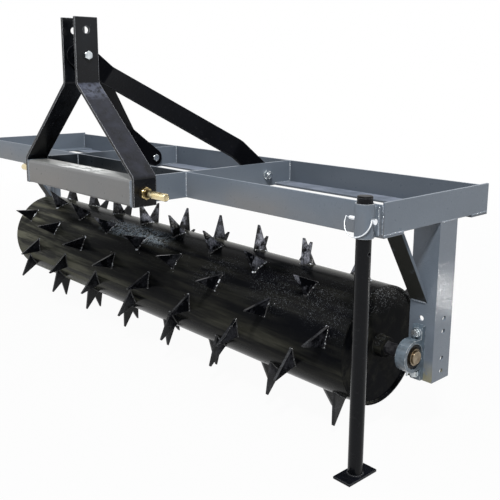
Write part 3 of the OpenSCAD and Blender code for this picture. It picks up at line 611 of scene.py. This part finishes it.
def skin(rings, loop=False):
    """Surface over rings of points, shape (rows, columns, 3). Each ring is closed; the rows are closed
    into a torus when loop is true, and otherwise both ends are capped by fans to their centres."""
    rows, cols = rings.shape[:2]
    points = rings.reshape(-1, 3)
    column = np.arange(cols)
    after = (column + 1) % cols
    row = np.arange(rows if loop else rows - 1)[:, None]
    below = (row + 1) % rows
    quads = np.stack([row * cols + column, row * cols + after, below * cols + after,
                      below * cols + column], axis=-1).reshape(-1, 4)
    if loop:
        return points, quads, np.zeros((0, 3), int)
    first, last = len(points), len(points) + 1
    points = np.vstack([points, rings[0].mean(0), rings[-1].mean(0)])
    start = np.stack([after, column, np.full(cols, first)], axis=-1)
    base = (rows - 1) * cols
    end = np.stack([base + column, base + after, np.full(cols, last)], axis=-1)
    return points, quads, np.vstack([start, end])


def lathe(origin, axis, profile, flats=0.0, columns=48, loop=False):
    """Surface of revolution: profile rows are (distance along the axis, radius). Where flats is given,
    the radius is the lesser of the profile's and a hexagon's of that width across flats."""
    angle = turns(columns)
    along, radius = np.asarray(profile, float).T
    radius = np.repeat(radius[:, None], columns, axis=1)
    if flats:
        folded = (angle + math.pi / 6) % (math.pi / 3) - math.pi / 6
        radius = np.minimum(radius, flats / 2 / np.cos(folded))
    rings = np.asarray(origin) + along[:, None, None] * unit(axis)
    return skin(rings + radius[..., None] * spokes(axis, angle), loop)


def hexagon(origin, axis, d, height, bore=0.0):
    """Bolt head for a bolt of diameter d, with a cone-turned chamfer on its far face. With a bore it is
    a nut, chamfered on both faces, whose profile closes on itself."""
    flats = FLATS * d
    corner, rim, cut = flats / math.sqrt(3), flats * 0.475, height * 0.16
    slope = np.linspace(0, 1, 5)
    top = np.stack([height - cut * (1 - slope), corner + (rim - corner) * slope], axis=1)
    if not bore:
        return lathe(origin, axis, np.vstack([[[0.0, corner]], top]), flats, 72)
    bottom = np.stack([cut * (1 - slope[::-1]), corner + (rim - corner) * slope[::-1]], axis=1)
    chamfer = bore * 0.12
    inside = [[height, bore + chamfer], [height - chamfer, bore], [chamfer, bore], [0, bore + chamfer]]
    return lathe(origin, axis, np.vstack([bottom, top, inside]), flats, 72, loop=True)


def threaded(origin, axis, radius, length, pitch, depth):
    """Screw surface: the radius falls by a rounded V of the phase z / pitch - angle / turn, and runs
    out at the chamfered end."""
    angle = turns(28)
    z = np.linspace(0, length, max(8, int(length / pitch * 8)))
    phase = (z[:, None] / pitch - angle[None, :] / (2 * math.pi)) % 1
    radii = radius - depth * pitch * (1 - np.abs(2 * phase - 1)) ** 1.3
    end = np.clip((length - z) / (1.2 * pitch), 0, 1)[:, None]
    radii = np.minimum(radii, radius - depth * pitch * (1 - end))
    rings = np.asarray(origin) + z[:, None, None] * unit(axis)
    return skin(rings + radii[..., None] * spokes(axis, angle))


def bead(path, out, radius, swell=0.16, sink=0.35):
    """Weld bead: a half-sunk rope along a path. Its radius follows |sin| of the distance over the ripple
    pitch, with a slow seeded drift, and it tapers at both ends. out points away from the corner."""
    path = np.asarray(path, float)
    step = np.linalg.norm(np.diff(path, axis=0), axis=1)
    reach = np.concatenate([[0], np.cumsum(step)])
    pitch = looks()[1].ripple
    count = int(np.clip(reach[-1] / pitch * 4, 12, 700))
    s = np.linspace(0, reach[-1], count)
    line = np.stack([np.interp(s, reach, path[:, i]) for i in range(3)], axis=1)
    out = np.broadcast_to(np.asarray(out, float), path.shape)
    away = unit(np.stack([np.interp(s, reach, out[:, i]) for i in range(3)], axis=1))
    ahead = unit(np.gradient(line, axis=0))
    across = unit(np.cross(ahead, away))
    away = np.cross(across, ahead)
    drift = np.random.default_rng(int(reach[-1] * 1e5) % 9973).normal(0, 1, count // 8 + 4)
    drift = np.interp(np.linspace(0, len(drift) - 1, count), np.arange(len(drift)), drift)
    size = radius * (1 - swell + swell * np.abs(np.sin(math.pi * s / pitch)) + 0.05 * drift)
    size *= np.sqrt(np.clip(np.minimum(s, s[-1] - s) / (0.8 * radius), 0.12, 1))
    angle = turns(10)[None, :, None]
    spoke = np.cos(angle) * across[:, None] + np.sin(angle) * away[:, None]
    centre = line - away * (radius * sink)
    return skin(centre[:, None] + size[:, None, None] * spoke)


def ring_bead(centre, axis, ring, lean, radius, count=240):
    """Weld bead round an axis, whose outward directions lean along the axis."""
    spoke = spokes(axis, np.linspace(0, 2 * math.pi, count))
    return bead(np.asarray(centre) + ring * spoke, spoke * lean[0] + unit(axis) * lean[1], radius)


def seam(start, end, out, radius, **more):
    """Weld bead along the straight line between two points."""
    return bead([start, end], out, radius, **more)


def upright_seam(x, y, low, high, out, radius, **more):
    """Straight weld bead up a corner."""
    return seam((x, y, low), (x, y, high), (*out, 0), radius, **more)


# Objects

def placed(name, data):
    """A new object in the scene."""
    made = bpy.data.objects.new(name, data)
    bpy.context.scene.collection.objects.link(made)
    return made


def piece(name, parts, material, body, sharp=40):
    """Puts surfaces into one mesh object that rides on a body."""
    points, faces, base = [], [], 0
    for vertices, quads, triangles in parts:
        points.append(vertices)
        faces += (quads + base).tolist() + (triangles + base).tolist()
        base += len(vertices)
    mesh = bpy.data.meshes.new(name)
    mesh.from_pydata(np.vstack(points).tolist(), [], faces)
    mesh.validate()
    mesh.polygons.foreach_set("use_smooth", np.ones(len(mesh.polygons), bool))
    mesh.set_sharp_from_angle(angle=math.radians(sharp))
    mesh.materials.append(finish(material))
    made = placed(name, mesh)
    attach(made, body)
    return made


def dress(node, material, edge=None, segments=2):
    """Gives a CAD node its finish, and rounds its sharp edges with a live bevel."""
    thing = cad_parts.get(node)
    if thing is None:
        raise RuntimeError("no CAD node called " + node)
    for place in thing.material_slots:
        place.material = finish(material)
    if edge:
        weld = thing.modifiers.new("closed", "WELD")
        weld.merge_threshold = 1e-6
        flat = thing.modifiers.new("flat faces", "DECIMATE")
        flat.decimate_type, flat.angle_limit = "DISSOLVE", math.radians(0.2)
        bevel = thing.modifiers.new("edges", "BEVEL")
        bevel.width, bevel.segments = edge, segments
        bevel.limit_method, bevel.angle_limit = "ANGLE", math.radians(32)
        even = thing.modifiers.new("normals", "WEIGHTED_NORMAL")
        even.mode, even.weight, even.keep_sharp = "FACE_AREA", 90, False


def dress_bars(*rows):
    """Dresses bars and plates: each row is a finish, a share of the panel's edge radius, and nodes."""
    for material, share, *nodes in rows:
        for node in nodes:
            dress(node, material, looks()[0].edge_round * share)


class AERATOR_OT_stage(bpy.types.Operator):
    """Camera at the photograph's angle, pale floor, pale surroundings and soft lamps"""
    bl_idname = "aerator.stage"
    bl_label = "Stage"

    # Name, place, aim, size in metres, power in watts and tint
    lamps = (
        ("sky", (-1.6, -1.5, 4.6), (0, 0, 0.5), 1.8, 45, (0.86, 0.93, 1.0)),
        ("front", (2.9, -2.4, 4.7), (0.2, 0, 0.45), 0.7, 240, (1.0, 0.985, 0.955)),
        ("side", (-3.0, -3.8, 3.3), (-0.2, 0, 0.5), 2.0, 22, (0.92, 0.96, 1.0)),
        ("back", (1.5, 4.5, 3.0), (0, 0, 0.5), 2.0, 45, (0.95, 0.97, 1.0)),
        ("glint", (1.63, 1.03, 0.085), (1.045, 0.11, 0.41), 0.06, 0.6, (1.0, 0.98, 0.95)),
    )

    def camera(self, context):
        """Right, up and back axes from heading, dip and roll, as the columns of the camera's turn."""
        view = context.scene.aerator_view
        ahead = np.array([-math.sin(view.heading) * math.cos(view.dip),
                          math.cos(view.heading) * math.cos(view.dip), -math.sin(view.dip)])
        right = unit(np.cross(ahead, UP))
        up = np.cross(right, ahead)
        right, up = (right * math.cos(view.roll) + up * math.sin(view.roll),
                     up * math.cos(view.roll) - right * math.sin(view.roll))
        lens = bpy.data.cameras.new("camera")
        lens.sensor_width, lens.lens = SENSOR, view.lens
        lens.shift_x, lens.shift_y = view.shift_x, view.shift_y
        lens.clip_start, lens.clip_end = 0.05, 200
        camera = placed("camera", lens)
        turn = Matrix(np.stack([right, up, -ahead], axis=1).tolist()).to_4x4()
        camera.matrix_world = Matrix.Translation(Vector(view.place)) @ turn
        context.scene.camera = camera

    def lamp(self, name, place, aim, size, power, tint):
        """Round area lamp that faces its aim."""
        light = bpy.data.lights.new(name, "AREA")
        light.shape, light.size, light.energy, light.color = "DISK", size, power, tint
        made = placed(name, light)
        made.location = place
        made.rotation_mode = "QUATERNION"
        made.rotation_quaternion = (Vector(aim) - Vector(place)).to_track_quat("-Z", "Y")

    def backdrop(self, graph, plain, bright):
        """Shows bright to camera, mirror and glass rays, and plain to all other rays."""
        camera, glossy, clear = (graph.node("LightPath", output="Is %s Ray" % kind)
                                 for kind in ("Camera", "Glossy", "Transmission"))
        seen = camera.sum("MAXIMUM", camera, camera.sum("MAXIMUM", glossy, clear))
        return graph.node("MixShader", inputs={0: seen, 1: plain, 2: bright})

    def surroundings(self, context):
        """World of soft cool light, white where the camera sees it."""
        world = bpy.data.worlds.new("surroundings")
        context.scene.world = world
        world.use_nodes = True
        graph = Graph(world.node_tree)
        soft = graph.fill("Background", Color=(0.93, 0.96, 1.0), Strength=0.19)
        white = graph.node("Background", inputs={"Color": (1, 1, 1), "Strength": 1.0})
        graph.fill("World Output", Surface=self.backdrop(graph, soft, white))

    def floor(self, radius=14, sides=96, drop=0.0005):
        """Disc just below the part, a polygon of many sides, which glows more towards its rim."""
        angle = turns(sides)
        rim = np.stack([np.cos(angle), np.sin(angle), np.zeros(sides)], axis=1) * radius - UP * drop
        mesh = bpy.data.meshes.new("floor")
        mesh.from_pydata(rim.tolist(), [], [list(range(sides))])
        material = bpy.data.materials.new("floor")
        material.use_nodes = True
        graph = Graph(material.node_tree)
        matt = graph.fill("Principled BSDF", Base_Color=(0.55, 0.55, 0.55), Roughness=0.9,
                          Specular_IOR_Level=0.0)
        glow = graph.node("Emission", inputs={"Strength": 1.0})
        place = graph.node("TexCoord", output="Object")
        reach = graph.node("VectorMath", {"operation": "LENGTH"}, {0: place}, output="Value")
        half = graph.node("MixShader", inputs={0: reach.between(1.2, 4.5, 0.96, 1.0), 1: matt, 2: glow})
        graph.fill("Material Output", Surface=self.backdrop(graph, matt, half))
        mesh.materials.append(material)
        placed("floor", mesh)

    def execute(self, context):
        context.scene.view_settings.view_transform = "Standard"
        self.camera(context)
        self.surroundings(context)
        self.floor()
        for lamp in self.lamps:
            self.lamp(*lamp)
        return {"FINISHED"}


class AERATOR_OT_tray(bpy.types.Operator):
    """Tray frame, cross members, hitch tube, uprights and struts, with their weld beads"""
    bl_idname = "aerator.tray"
    bl_label = "Tray frame"

    def corner_seams(self, side, y, back):
        """Seams of one lapped corner: the end rail lies on the lower leg of the front or rear rail."""
        radius = looks()[1].bead
        x, high = side * TRAY_HIGH[0], TRAY_HIGH[2]
        shelf = TRAY_LOW[2] + WALL
        inner_x, inner_y = x - side * WALL, y + back * WALL
        toe_x, toe_y = x - side * LEG, y + back * LEG
        outer = {"sink": 0.5, "swell": 0.4}
        return [
            upright_seam(inner_x, y, shelf, high, (-side * 0.3, -back), radius * 0.8, **outer),
            upright_seam(inner_x, inner_y, shelf + WALL, high, (-side, back), radius * 0.9),
            seam((x, y, shelf), (x, toe_y, shelf), (side, 0, -0.4), radius * 0.75, **outer),
            seam((toe_x, inner_y, shelf), (toe_x, toe_y, shelf), (-side, 0, 1), radius),
            seam((toe_x, toe_y, shelf), (inner_x, toe_y, shelf), (0, back, -0.6), radius * 0.8),
        ]

    def cross_seams(self, side):
        """Seams where a cross member meets front rail, rear rail and hitch tube."""
        radius = looks()[1].bead
        low, shelf, high = TRAY_LOW[2], TRAY_LOW[2] + WALL, TRAY_HIGH[2]
        out_x, in_x = side * CROSS_X, side * (CROSS_X - BAR)
        front, rear = FRONT_Y + WALL, TRAY_HIGH[1] - WALL
        made = []
        for x, way in ((out_x, side), (in_x, -side)):
            made += [
                upright_seam(x, FRONT_Y, low, high, (way, -1), radius),
                upright_seam(x, front, shelf, high, (way, 1), radius),
                seam((x, front, shelf), (x, FRONT_Y + LEG, shelf), (way, 0, 1), radius * 0.9),
                upright_seam(x, rear, shelf, high, (way, -1), radius),
                seam((x, rear, shelf), (x, TRAY_HIGH[1] - LEG, shelf), (way, 0, 1), radius * 0.9),
            ]
        face, back, short = TUBE_LOW[1], TUBE_HIGH[1], 0.004
        bottom, top = TUBE_LOW[2], TUBE_HIGH[2]
        made += [
            upright_seam(in_x, face, bottom + short / 2, top - short / 2, (0, -1), radius * 0.9, sink=0.62),
            upright_seam(in_x, back, bottom + 0.003, top, (-side, 1), radius),
        ]
        for z, up in ((top, 1), (bottom, -1)):
            start, end = (in_x, face + short, z), (in_x, back - short, z)
            made.append(seam(start, end, (0, 0, up), radius * 0.8, sink=0.6))
        return made

    def post_seams(self, side):
        """Seams at the top of an upright and at both ends of its strut."""
        radius = looks()[1].bead
        top, face, inner = POST_HIGH[2], POST_LOW[1], POST_LOW[1] + WALL
        x, toe, inner_x = side * POST_HIGH[0], side * POST_LOW[0], side * (POST_HIGH[0] - WALL)
        short = 0.003
        (x0, y0, z0), (x1, _, z1) = span("right_strut")
        x0, x1 = side * (x0 + 0.002), side * (x1 - 0.002)
        rise = BAR / math.cos(math.atan2(z1 - z0, face - y0))
        return [
            seam((toe, face, top), (x - side * short, face, top), (0, -1, -1), radius),
            seam((toe, inner, top), (inner_x, inner, top), (0, 1, -1), radius),
            seam((inner_x, inner, top), (inner_x, face + LEG, top), (-side, 0, -1), radius),
            seam((x, face + short, top), (x, face + LEG - short, top), (side, 0, 0), radius * 0.7,
                 sink=0.6),
            seam((x0, y0, top), (x1, y0, top), (0, -1, -0.6), radius * 0.9),
            seam((x0, face, z0), (x1, face, z0), (0, -0.6, -1), radius * 0.9),
            seam((x0, face, z0 + rise), (x1, face, z0 + rise), (0, -1, 1), radius),
        ]

    def execute(self, context):
        dress_bars(
            ("back_paint", 1.0, "rear_rail"),
            ("post_paint", 1.0, "left_upright", "right_upright"),
            ("frame_paint", 1.0, "left_end_rail", "right_end_rail", "front_rail_left", "front_rail_right"),
            ("pocket_paint", 0.8, "front_rail_middle", "left_cross_member", "right_cross_member"),
            ("strut_paint", 0.8, "left_strut", "right_strut"),
            ("tube_paint", 0.8, "hitch_tube"))
        seams = []
        for _, side in SIDES:
            seams += self.corner_seams(side, FRONT_Y, 1) + self.corner_seams(side, TRAY_HIGH[1], -1)
            seams += self.cross_seams(side) + self.post_seams(side)
        piece("frame_welds", seams, "weld_paint", "frame")
        return {"FINISHED"}


class AERATOR_OT_mast(bpy.types.Operator):
    """Mast straps, rear braces and spacer"""
    bl_idname = "aerator.mast"
    bl_label = "Mast"

    def execute(self, context):
        dress_bars(
            ("strap_enamel", 1.0, "left_mast_strap", "right_mast_strap"),
            ("brace_enamel", 0.8, "left_rear_brace", "right_rear_brace"),
            ("brace_enamel", 0.4, "mast_spacer"))
        return {"FINISHED"}


class AERATOR_OT_bolts(bpy.types.Operator):
    """Bolts with chamfered heads and real threads, nuts, washers and hitch pins"""
    bl_idname = "aerator.bolts"
    bl_label = "Bolts and hitch pins"

    def bolt(self, origin, axis, d, length, plain):
        """Head below the origin, shank of that length above it, threaded after its plain part."""
        thread = looks()[2]
        axis = unit(axis)
        neck = [[-0.0006, d * 0.70], [0, d * 0.70], [0.00001, d / 2], [plain, d / 2]]
        return [hexagon(origin, -axis, d, HEAD * d), lathe(origin, axis, neck, columns=32),
                threaded(origin + axis * plain, axis, d / 2, length - plain, d * thread.pitch, thread.depth)]

    def nut(self, origin, axis, d):
        """Nut above the origin, open round the thread."""
        return hexagon(origin, axis, d, NUT * d, bore=d / 2 + 0.00005)

    def mast_bolts(self):
        """The long bolt through both straps, and a bolt through each brace's foot."""
        d = MAST_BOLT
        low, high = span("mast_bolt")
        head_x = span("right_mast_strap")[0][0] + BAR
        head, grip = np.array([head_x, *middle("mast_bolt")[1:]]), 2 * head_x
        bolts = self.bolt(head, -RIGHT, d, high[0] - low[0] - HEAD * d, grip - 2 * THREAD_MORE)
        nuts = [self.nut(head - RIGHT * (grip + WASHER), -RIGHT, d)]
        grip = 2 * BAR
        for _, side in SIDES:
            head = np.array([side * (CROSS_X - grip), *middle("brace_bolts")[1:]])
            length = grip + WASHER + NUT * d + THREAD_MORE
            bolts += self.bolt(head, RIGHT * side, d, length, grip - THREAD_MORE)
            nuts.append(self.nut(head + RIGHT * side * (grip + WASHER), RIGHT * side, d))
        bolts = piece("mast_and_brace_bolts", bolts, "zinc", "frame", sharp=32)
        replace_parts(bolts, "mast_bolt", "brace_bolts")
        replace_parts(piece("mast_and_brace_nuts", nuts, "zinc", "frame", sharp=32), "brace_nuts")

    def bearing_bolts(self):
        """Two bolts through each housing and its upright."""
        d = BEARING_BOLT
        low, high = span("bearing_bolts")
        head_y, nut_y = low[1] + HEAD * d, span("bearing_nuts")[0][1]
        gap = (high[2] - low[2]) / 2 - FLATS * d / 2
        bolts, nuts = [], []
        for _, side in SIDES:
            for level in (-1, 1):
                head = np.array([side * BEARING[0], head_y, AXLE[2] + level * gap])
                bolts += self.bolt(head, BACK, d, high[1] - head_y, nut_y - head_y - THREAD_MORE)
                nuts.append(self.nut(head + BACK * (nut_y - head_y), BACK, d))
        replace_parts(piece("bearing_bolts_cut", bolts, "zinc", "frame", sharp=32), "bearing_bolts")
        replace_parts(piece("bearing_nuts_cut", nuts, "zinc", "frame", sharp=32), "bearing_nuts")

    def hitch_pin(self, side, d=PIN, collar=BAR, nose_r=0.0032):
        """Smooth pin with a rounded nose, its chamfered collar and fillet, and the linch hole's place."""
        face = np.array([side * (CROSS_X + BAR), TUBE_LOW[1] + LEG / 2, middle("hitch_tube")[2]])
        reach = span("right_hitch_pin")[1][0] - CROSS_X - BAR
        nose = [[reach - nose_r + nose_r * math.sin(a), d / 2 - nose_r + nose_r * math.cos(a)]
                for a in np.linspace(0, math.pi / 2, 7)]
        turned = partial(lathe, face, RIGHT * side)
        shank = turned([[-0.04, d / 2], [collar, d / 2], *nose], columns=64)
        head = turned([[0.00002, d * 0.86], [0.001, d * 0.866], [collar - 0.0022, d * 0.866],
                       [collar - 0.0012, d * 0.80], [collar, d * 0.735], [collar, d * 0.56]], FLATS * d, 72)
        fillet = turned([[collar, d * 0.56], [collar + 0.0010, d * 0.515], [collar + 0.0022, d / 2]])
        return shank, [head, fillet], face + RIGHT * side * (reach - 1.1 * d)

    def drilled(self, name, side, hole_r=0.0057):
        """One hitch pin with its linch hole cut by a boolean, which is applied."""
        shank, collar, hole = self.hitch_pin(side)
        pin = piece(name + "_pin_polished", [shank], "yellow_zinc", "frame", sharp=30)
        drill = bpy.data.meshes.new("drill")
        points, quads, triangles = lathe(hole - UP * PIN, UP, [[0, hole_r], [2 * PIN, hole_r]], columns=32)
        drill.from_pydata(points.tolist(), [], quads.tolist() + triangles.tolist())
        tool = placed("drill", drill)
        cut = pin.modifiers.new("linch hole", "BOOLEAN")
        cut.operation, cut.solver, cut.object = "DIFFERENCE", "EXACT", tool
        done = bpy.data.meshes.new_from_object(pin.evaluated_get(bpy.context.evaluated_depsgraph_get()))
        pin.modifiers.clear()
        pin.data = done
        done.set_sharp_from_angle(angle=math.radians(30))
        bpy.data.objects.remove(tool)
        piece(name + "_pin_collar", collar, "yellow_zinc", "frame", sharp=30)
        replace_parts(pin, name + "_hitch_pin")

    def execute(self, context):
        self.mast_bolts()
        self.bearing_bolts()
        for node in ("lock_washers", "bearing_washers"):
            dress(node, "zinc", edge=0.0004)
        dress("hitch_pin_nuts", "yellow_zinc", edge=0.0006)
        for name, side in SIDES:
            self.drilled(name, side)
        return {"FINISHED"}


class AERATOR_OT_bearings(bpy.types.Operator):
    """Cast housings with grease nipples, seals and set screws"""
    bl_idname = "aerator.bearings"
    bl_label = "Bearings"

    # Angles of the two set screws about the shaft
    screw_turns = (0.4, 2.2)

    def seal(self, centre, way, face, inner, outer):
        """Lip seal in the gap between the rings on one face of a bearing."""
        return lathe(centre, RIGHT * way, [
            [face - 0.0015, inner + 0.0006], [face + 0.0012, inner + 0.0006],
            [face + 0.0021, inner + 0.0016], [face + 0.0024, (inner + outer) / 2],
            [face + 0.0016, outer - 0.0016], [face - 0.0015, outer - 0.0012]], columns=72, loop=True)

    def nipple(self, centre, lean=(0, -0.15, -1.0), housing_r=0.040):
        """Grease nipple below the housing's front: a hexagon and a waisted, domed tip."""
        lean = unit(lean)
        foot = centre + lean * housing_r
        return [lathe(foot, lean, [[0, 0.0046], [0.0052, 0.0046], [0.0056, 0.0040]], 0.0086, 36),
                lathe(foot, lean, [[0.0056, 0.0030], [0.0085, 0.0027], [0.0098, 0.0021], [0.0112, 0.0029],
                                   [0.0128, 0.0030], [0.0140, 0.0018]], columns=24)]

    def screw(self, centre, side, turn, inner, out=0.0138):
        """Set screw with a socket, in the inner ring's collar."""
        spoke = np.array([0, math.cos(turn), math.sin(turn)])
        seat = centre + RIGHT * side * out + spoke * (inner - 0.0004)
        return lathe(seat, spoke, [[-0.001, 0.0028], [0.0008, 0.0028], [0.0011, 0.0024], [0.0011, 0.0014],
                                   [-0.0002, 0.0013]], columns=24)

    def execute(self, context):
        for name, side in SIDES:
            dress(name + "_bearing_housing", "housing_paint", edge=0.0024, segments=3)
            dress(name + "_outer_ring", "zinc", edge=0.0004)
            dress(name + "_inner_ring", "bare_steel", edge=0.0006)
            dress(name + "_balls", "zinc")
            centre = np.array([side * BEARING[0], AXLE[1], AXLE[2]])
            low, high = span(name + "_inner_ring")
            inner = (high[2] - low[2]) / 2
            rim = span(name + "_outer_ring")[1]
            seals = [self.seal(centre, way, rim[0] - centre[0], inner, rim[2] - AXLE[2]) for way in (-1, 1)]
            piece(name + "_seals", seals, "seal_rubber", "frame", sharp=50)
            piece(name + "_grease_nipple", self.nipple(centre), "zinc", "frame")
            screws = [self.screw(centre, side, turn, inner) for turn in self.screw_turns]
            piece(name + "_set_screws", screws, "plug_plastic", "drum")
        return {"FINISHED"}


class AERATOR_OT_drum(bpy.types.Operator):
    """Drum shell, end discs, hubs and shaft, with their weld rings"""
    bl_idname = "aerator.drum"
    bl_label = "Drum"

    def execute(self, context):
        radius = looks()[1].bead
        dress("drum_shell", "drum_enamel", edge=0.0009)
        dress("drum_shaft", "bare_steel", edge=0.0008)
        beads = []
        # Place along the drum, radius, lean outwards and along the drum, and size of each bead
        rings = ((DISC_X, SHELL_R - WALL, (-1, 1), 1.0), (DISC_X, HUB_R, (1, 1), 1.1),
                 (HUB_X, SHAFT_R, (1, 1), 0.7))
        for name, side in SIDES:
            dress(name + "_end_disc", "drum_enamel")
            dress(name + "_hub", "drum_enamel", edge=0.0012)
            for x, ring, lean, size in rings:
                centre = (side * x, AXLE[1], AXLE[2])
                beads.append(ring_bead(centre, RIGHT * side, ring, lean, radius * size))
        piece("drum_welds", beads, "drum_enamel", "drum")
        return {"FINISHED"}


class AERATOR_OT_spikes(bpy.types.Operator):
    """Spikes with rounded edges and painted edge highlights, weld beads along both sides of each base, and
    spatter
    """
    bl_idname = "aerator.spikes"
    bl_label = "Spikes"

    def spoke(self, angle):
        """Directions out of the shell at these angles, counted from the front over the top."""
        return np.stack([np.zeros_like(angle), -np.cos(angle), np.sin(angle)], axis=-1)

    def on_shell(self, x, angle):
        """Points on the shell at these angles."""
        return RIGHT * x + [0, AXLE[1], AXLE[2]] + SHELL_R * self.spoke(np.asarray(angle, float))

    def base(self, x, phase):
        """Beads up both sides of one spike's base and round its two ends."""
        radius = looks()[1].bead * 1.05
        first, last = phase - SPIKE_BEFORE, phase + SPIKE_AFTER
        made = []
        for way in (-1, 1):
            angle = np.linspace(first - 0.012, last + 0.012, 14)
            path = self.on_shell(x + way * SPIKE_T / 2, angle)
            made.append(bead(path, self.spoke(angle) + RIGHT * way, radius))
        for angle, lean in ((first, -1), (last, 1)):
            ends = [self.on_shell(x + way * SPIKE_T / 2, angle) for way in (-1, 1)]
            tangent = np.array([0, math.sin(angle), math.cos(angle)])
            made.append(bead(ends, self.spoke(angle) + lean * tangent, radius * 0.95))
        return made

    def drop(self, chance, x, phase):
        """One drop of spatter beside a spike."""
        way = 1 if chance.random() < 0.5 else -1
        spot = x + way * (SPIKE_T / 2 + 0.004 + abs(chance.normal(0, 0.011)))
        angle = phase + chance.uniform(-0.12, 0.34)
        size = chance.uniform(0.0004, 0.0011)
        dome = [[-0.0002, size], [size * 0.5, size * 0.86], [size * 0.87, size * 0.5]]
        return lathe(self.on_shell(spot, angle), self.spoke(angle), dome, columns=6)

    def execute(self, context):
        for group in range(1, RINGS // 2 + 1):
            dress("spikes_%d" % group, "spike_enamel", edge=0.0007)
        chance = np.random.default_rng(SPATTER_SEED)
        beads, drops = [[], []], []
        for k in range(RINGS):
            x = SHELL[0] - RING_MARGIN - (RINGS - 1 - k) * RING_PITCH
            for j in range(SPIKES):
                phase = FIRST_PHASE + k * RING_TURN + j * 2 * math.pi / SPIKES
                beads[2 * k // RINGS] += self.base(x, phase)
                drops += [self.drop(chance, x, phase) for _ in range(looks()[1].spatter)]
        for (name, _), half in zip(SIDES, beads):
            piece(name + "_spike_welds", half, "spike_weld_enamel", "drum")
        piece("spatter", drops, "spike_weld_enamel", "drum", sharp=60)
        return {"FINISHED"}


class AERATOR_OT_stand(bpy.types.Operator):
    """Parking stand with its foot, plug, lock pin and wire bail"""
    bl_idname = "aerator.stand"
    bl_label = "Parking stand"

    def execute(self, context):
        dress_bars(
            ("sleeve_paint", 0.8, "stand_sleeve"),
            ("frame_paint", 1.0, "stand_standoff"),
            ("leg_enamel", 0.5, "stand_leg"),
            ("leg_enamel", 1.0, "stand_foot"),
            ("plug_plastic", 1.0, "stand_cap"))
        dress("lock_pin", "bright_zinc", edge=0.0006)
        dress("lock_bail", "bright_zinc")
        radius = looks()[1].bead
        low, high = span("stand_standoff")
        half = (high[0] - low[0]) / 2
        sleeve_low, sleeve_high = span("stand_sleeve")
        touch = STAND[1] + math.sqrt(((sleeve_high[0] - sleeve_low[0]) / 2) ** 2 - half ** 2)
        seams = []
        for _, side in SIDES:
            x = STAND[0] + side * half
            seams.append(upright_seam(x, FRONT_Y, low[2], high[2], (side, -1), radius))
            seams.append(upright_seam(x, touch, low[2], high[2], (side, 0.6), radius * 0.9))
        piece("sleeve_welds", seams, "weld_paint", "frame")
        leg_low, leg_high = span("stand_leg")
        foot = (STAND[0], STAND[1], span("stand_foot")[1][2])
        ring = ring_bead(foot, UP, (leg_high[0] - leg_low[0]) / 2, (1, 1), radius, 160)
        piece("foot_weld", [ring], "leg_enamel", "frame")
        return {"FINISHED"}


class AERATOR_PT_panel(bpy.types.Panel):
    """Sizes, colours and steps in the sidebar"""
    bl_label = "Spike Aerator"
    bl_idname = "AERATOR_PT_panel"
    bl_space_type = "VIEW_3D"
    bl_region_type = "UI"
    bl_category = "Aerator"

    def draw(self, context):
        for name, (label, _) in GROUPS.items():
            group = getattr(context.scene, name)
            box = self.layout.box()
            box.label(text=label)
            for key in type(group).__annotations__:
                box.prop(group, key)
        for step in STEPS:
            self.layout.operator(step.bl_idname)


GROUPS = {
    "aerator_paint": ("Paint", AERATOR_PG_paint), "aerator_weld": ("Welds", AERATOR_PG_weld),
    "aerator_thread": ("Threads", AERATOR_PG_thread), "aerator_view": ("View", AERATOR_PG_view),
}
STEPS = (AERATOR_OT_stage, AERATOR_OT_tray, AERATOR_OT_mast, AERATOR_OT_bolts, AERATOR_OT_bearings,
         AERATOR_OT_drum, AERATOR_OT_spikes, AERATOR_OT_stand)
CLASSES = (*(group for _, group in GROUPS.values()), *STEPS, AERATOR_PT_panel)


def register():
    for made in CLASSES:
        bpy.utils.register_class(made)
    for name, (_, group) in GROUPS.items():
        setattr(bpy.types.Scene, name, PointerProperty(type=group))


def unregister():
    for name in GROUPS:
        delattr(bpy.types.Scene, name)
    for made in reversed(CLASSES):
        bpy.utils.unregister_class(made)


def main():
    register()
    for step in STEPS:
        group, name = step.bl_idname.split(".")
        getattr(getattr(bpy.ops, group), name)()


if __name__ == "__main__":
    main()
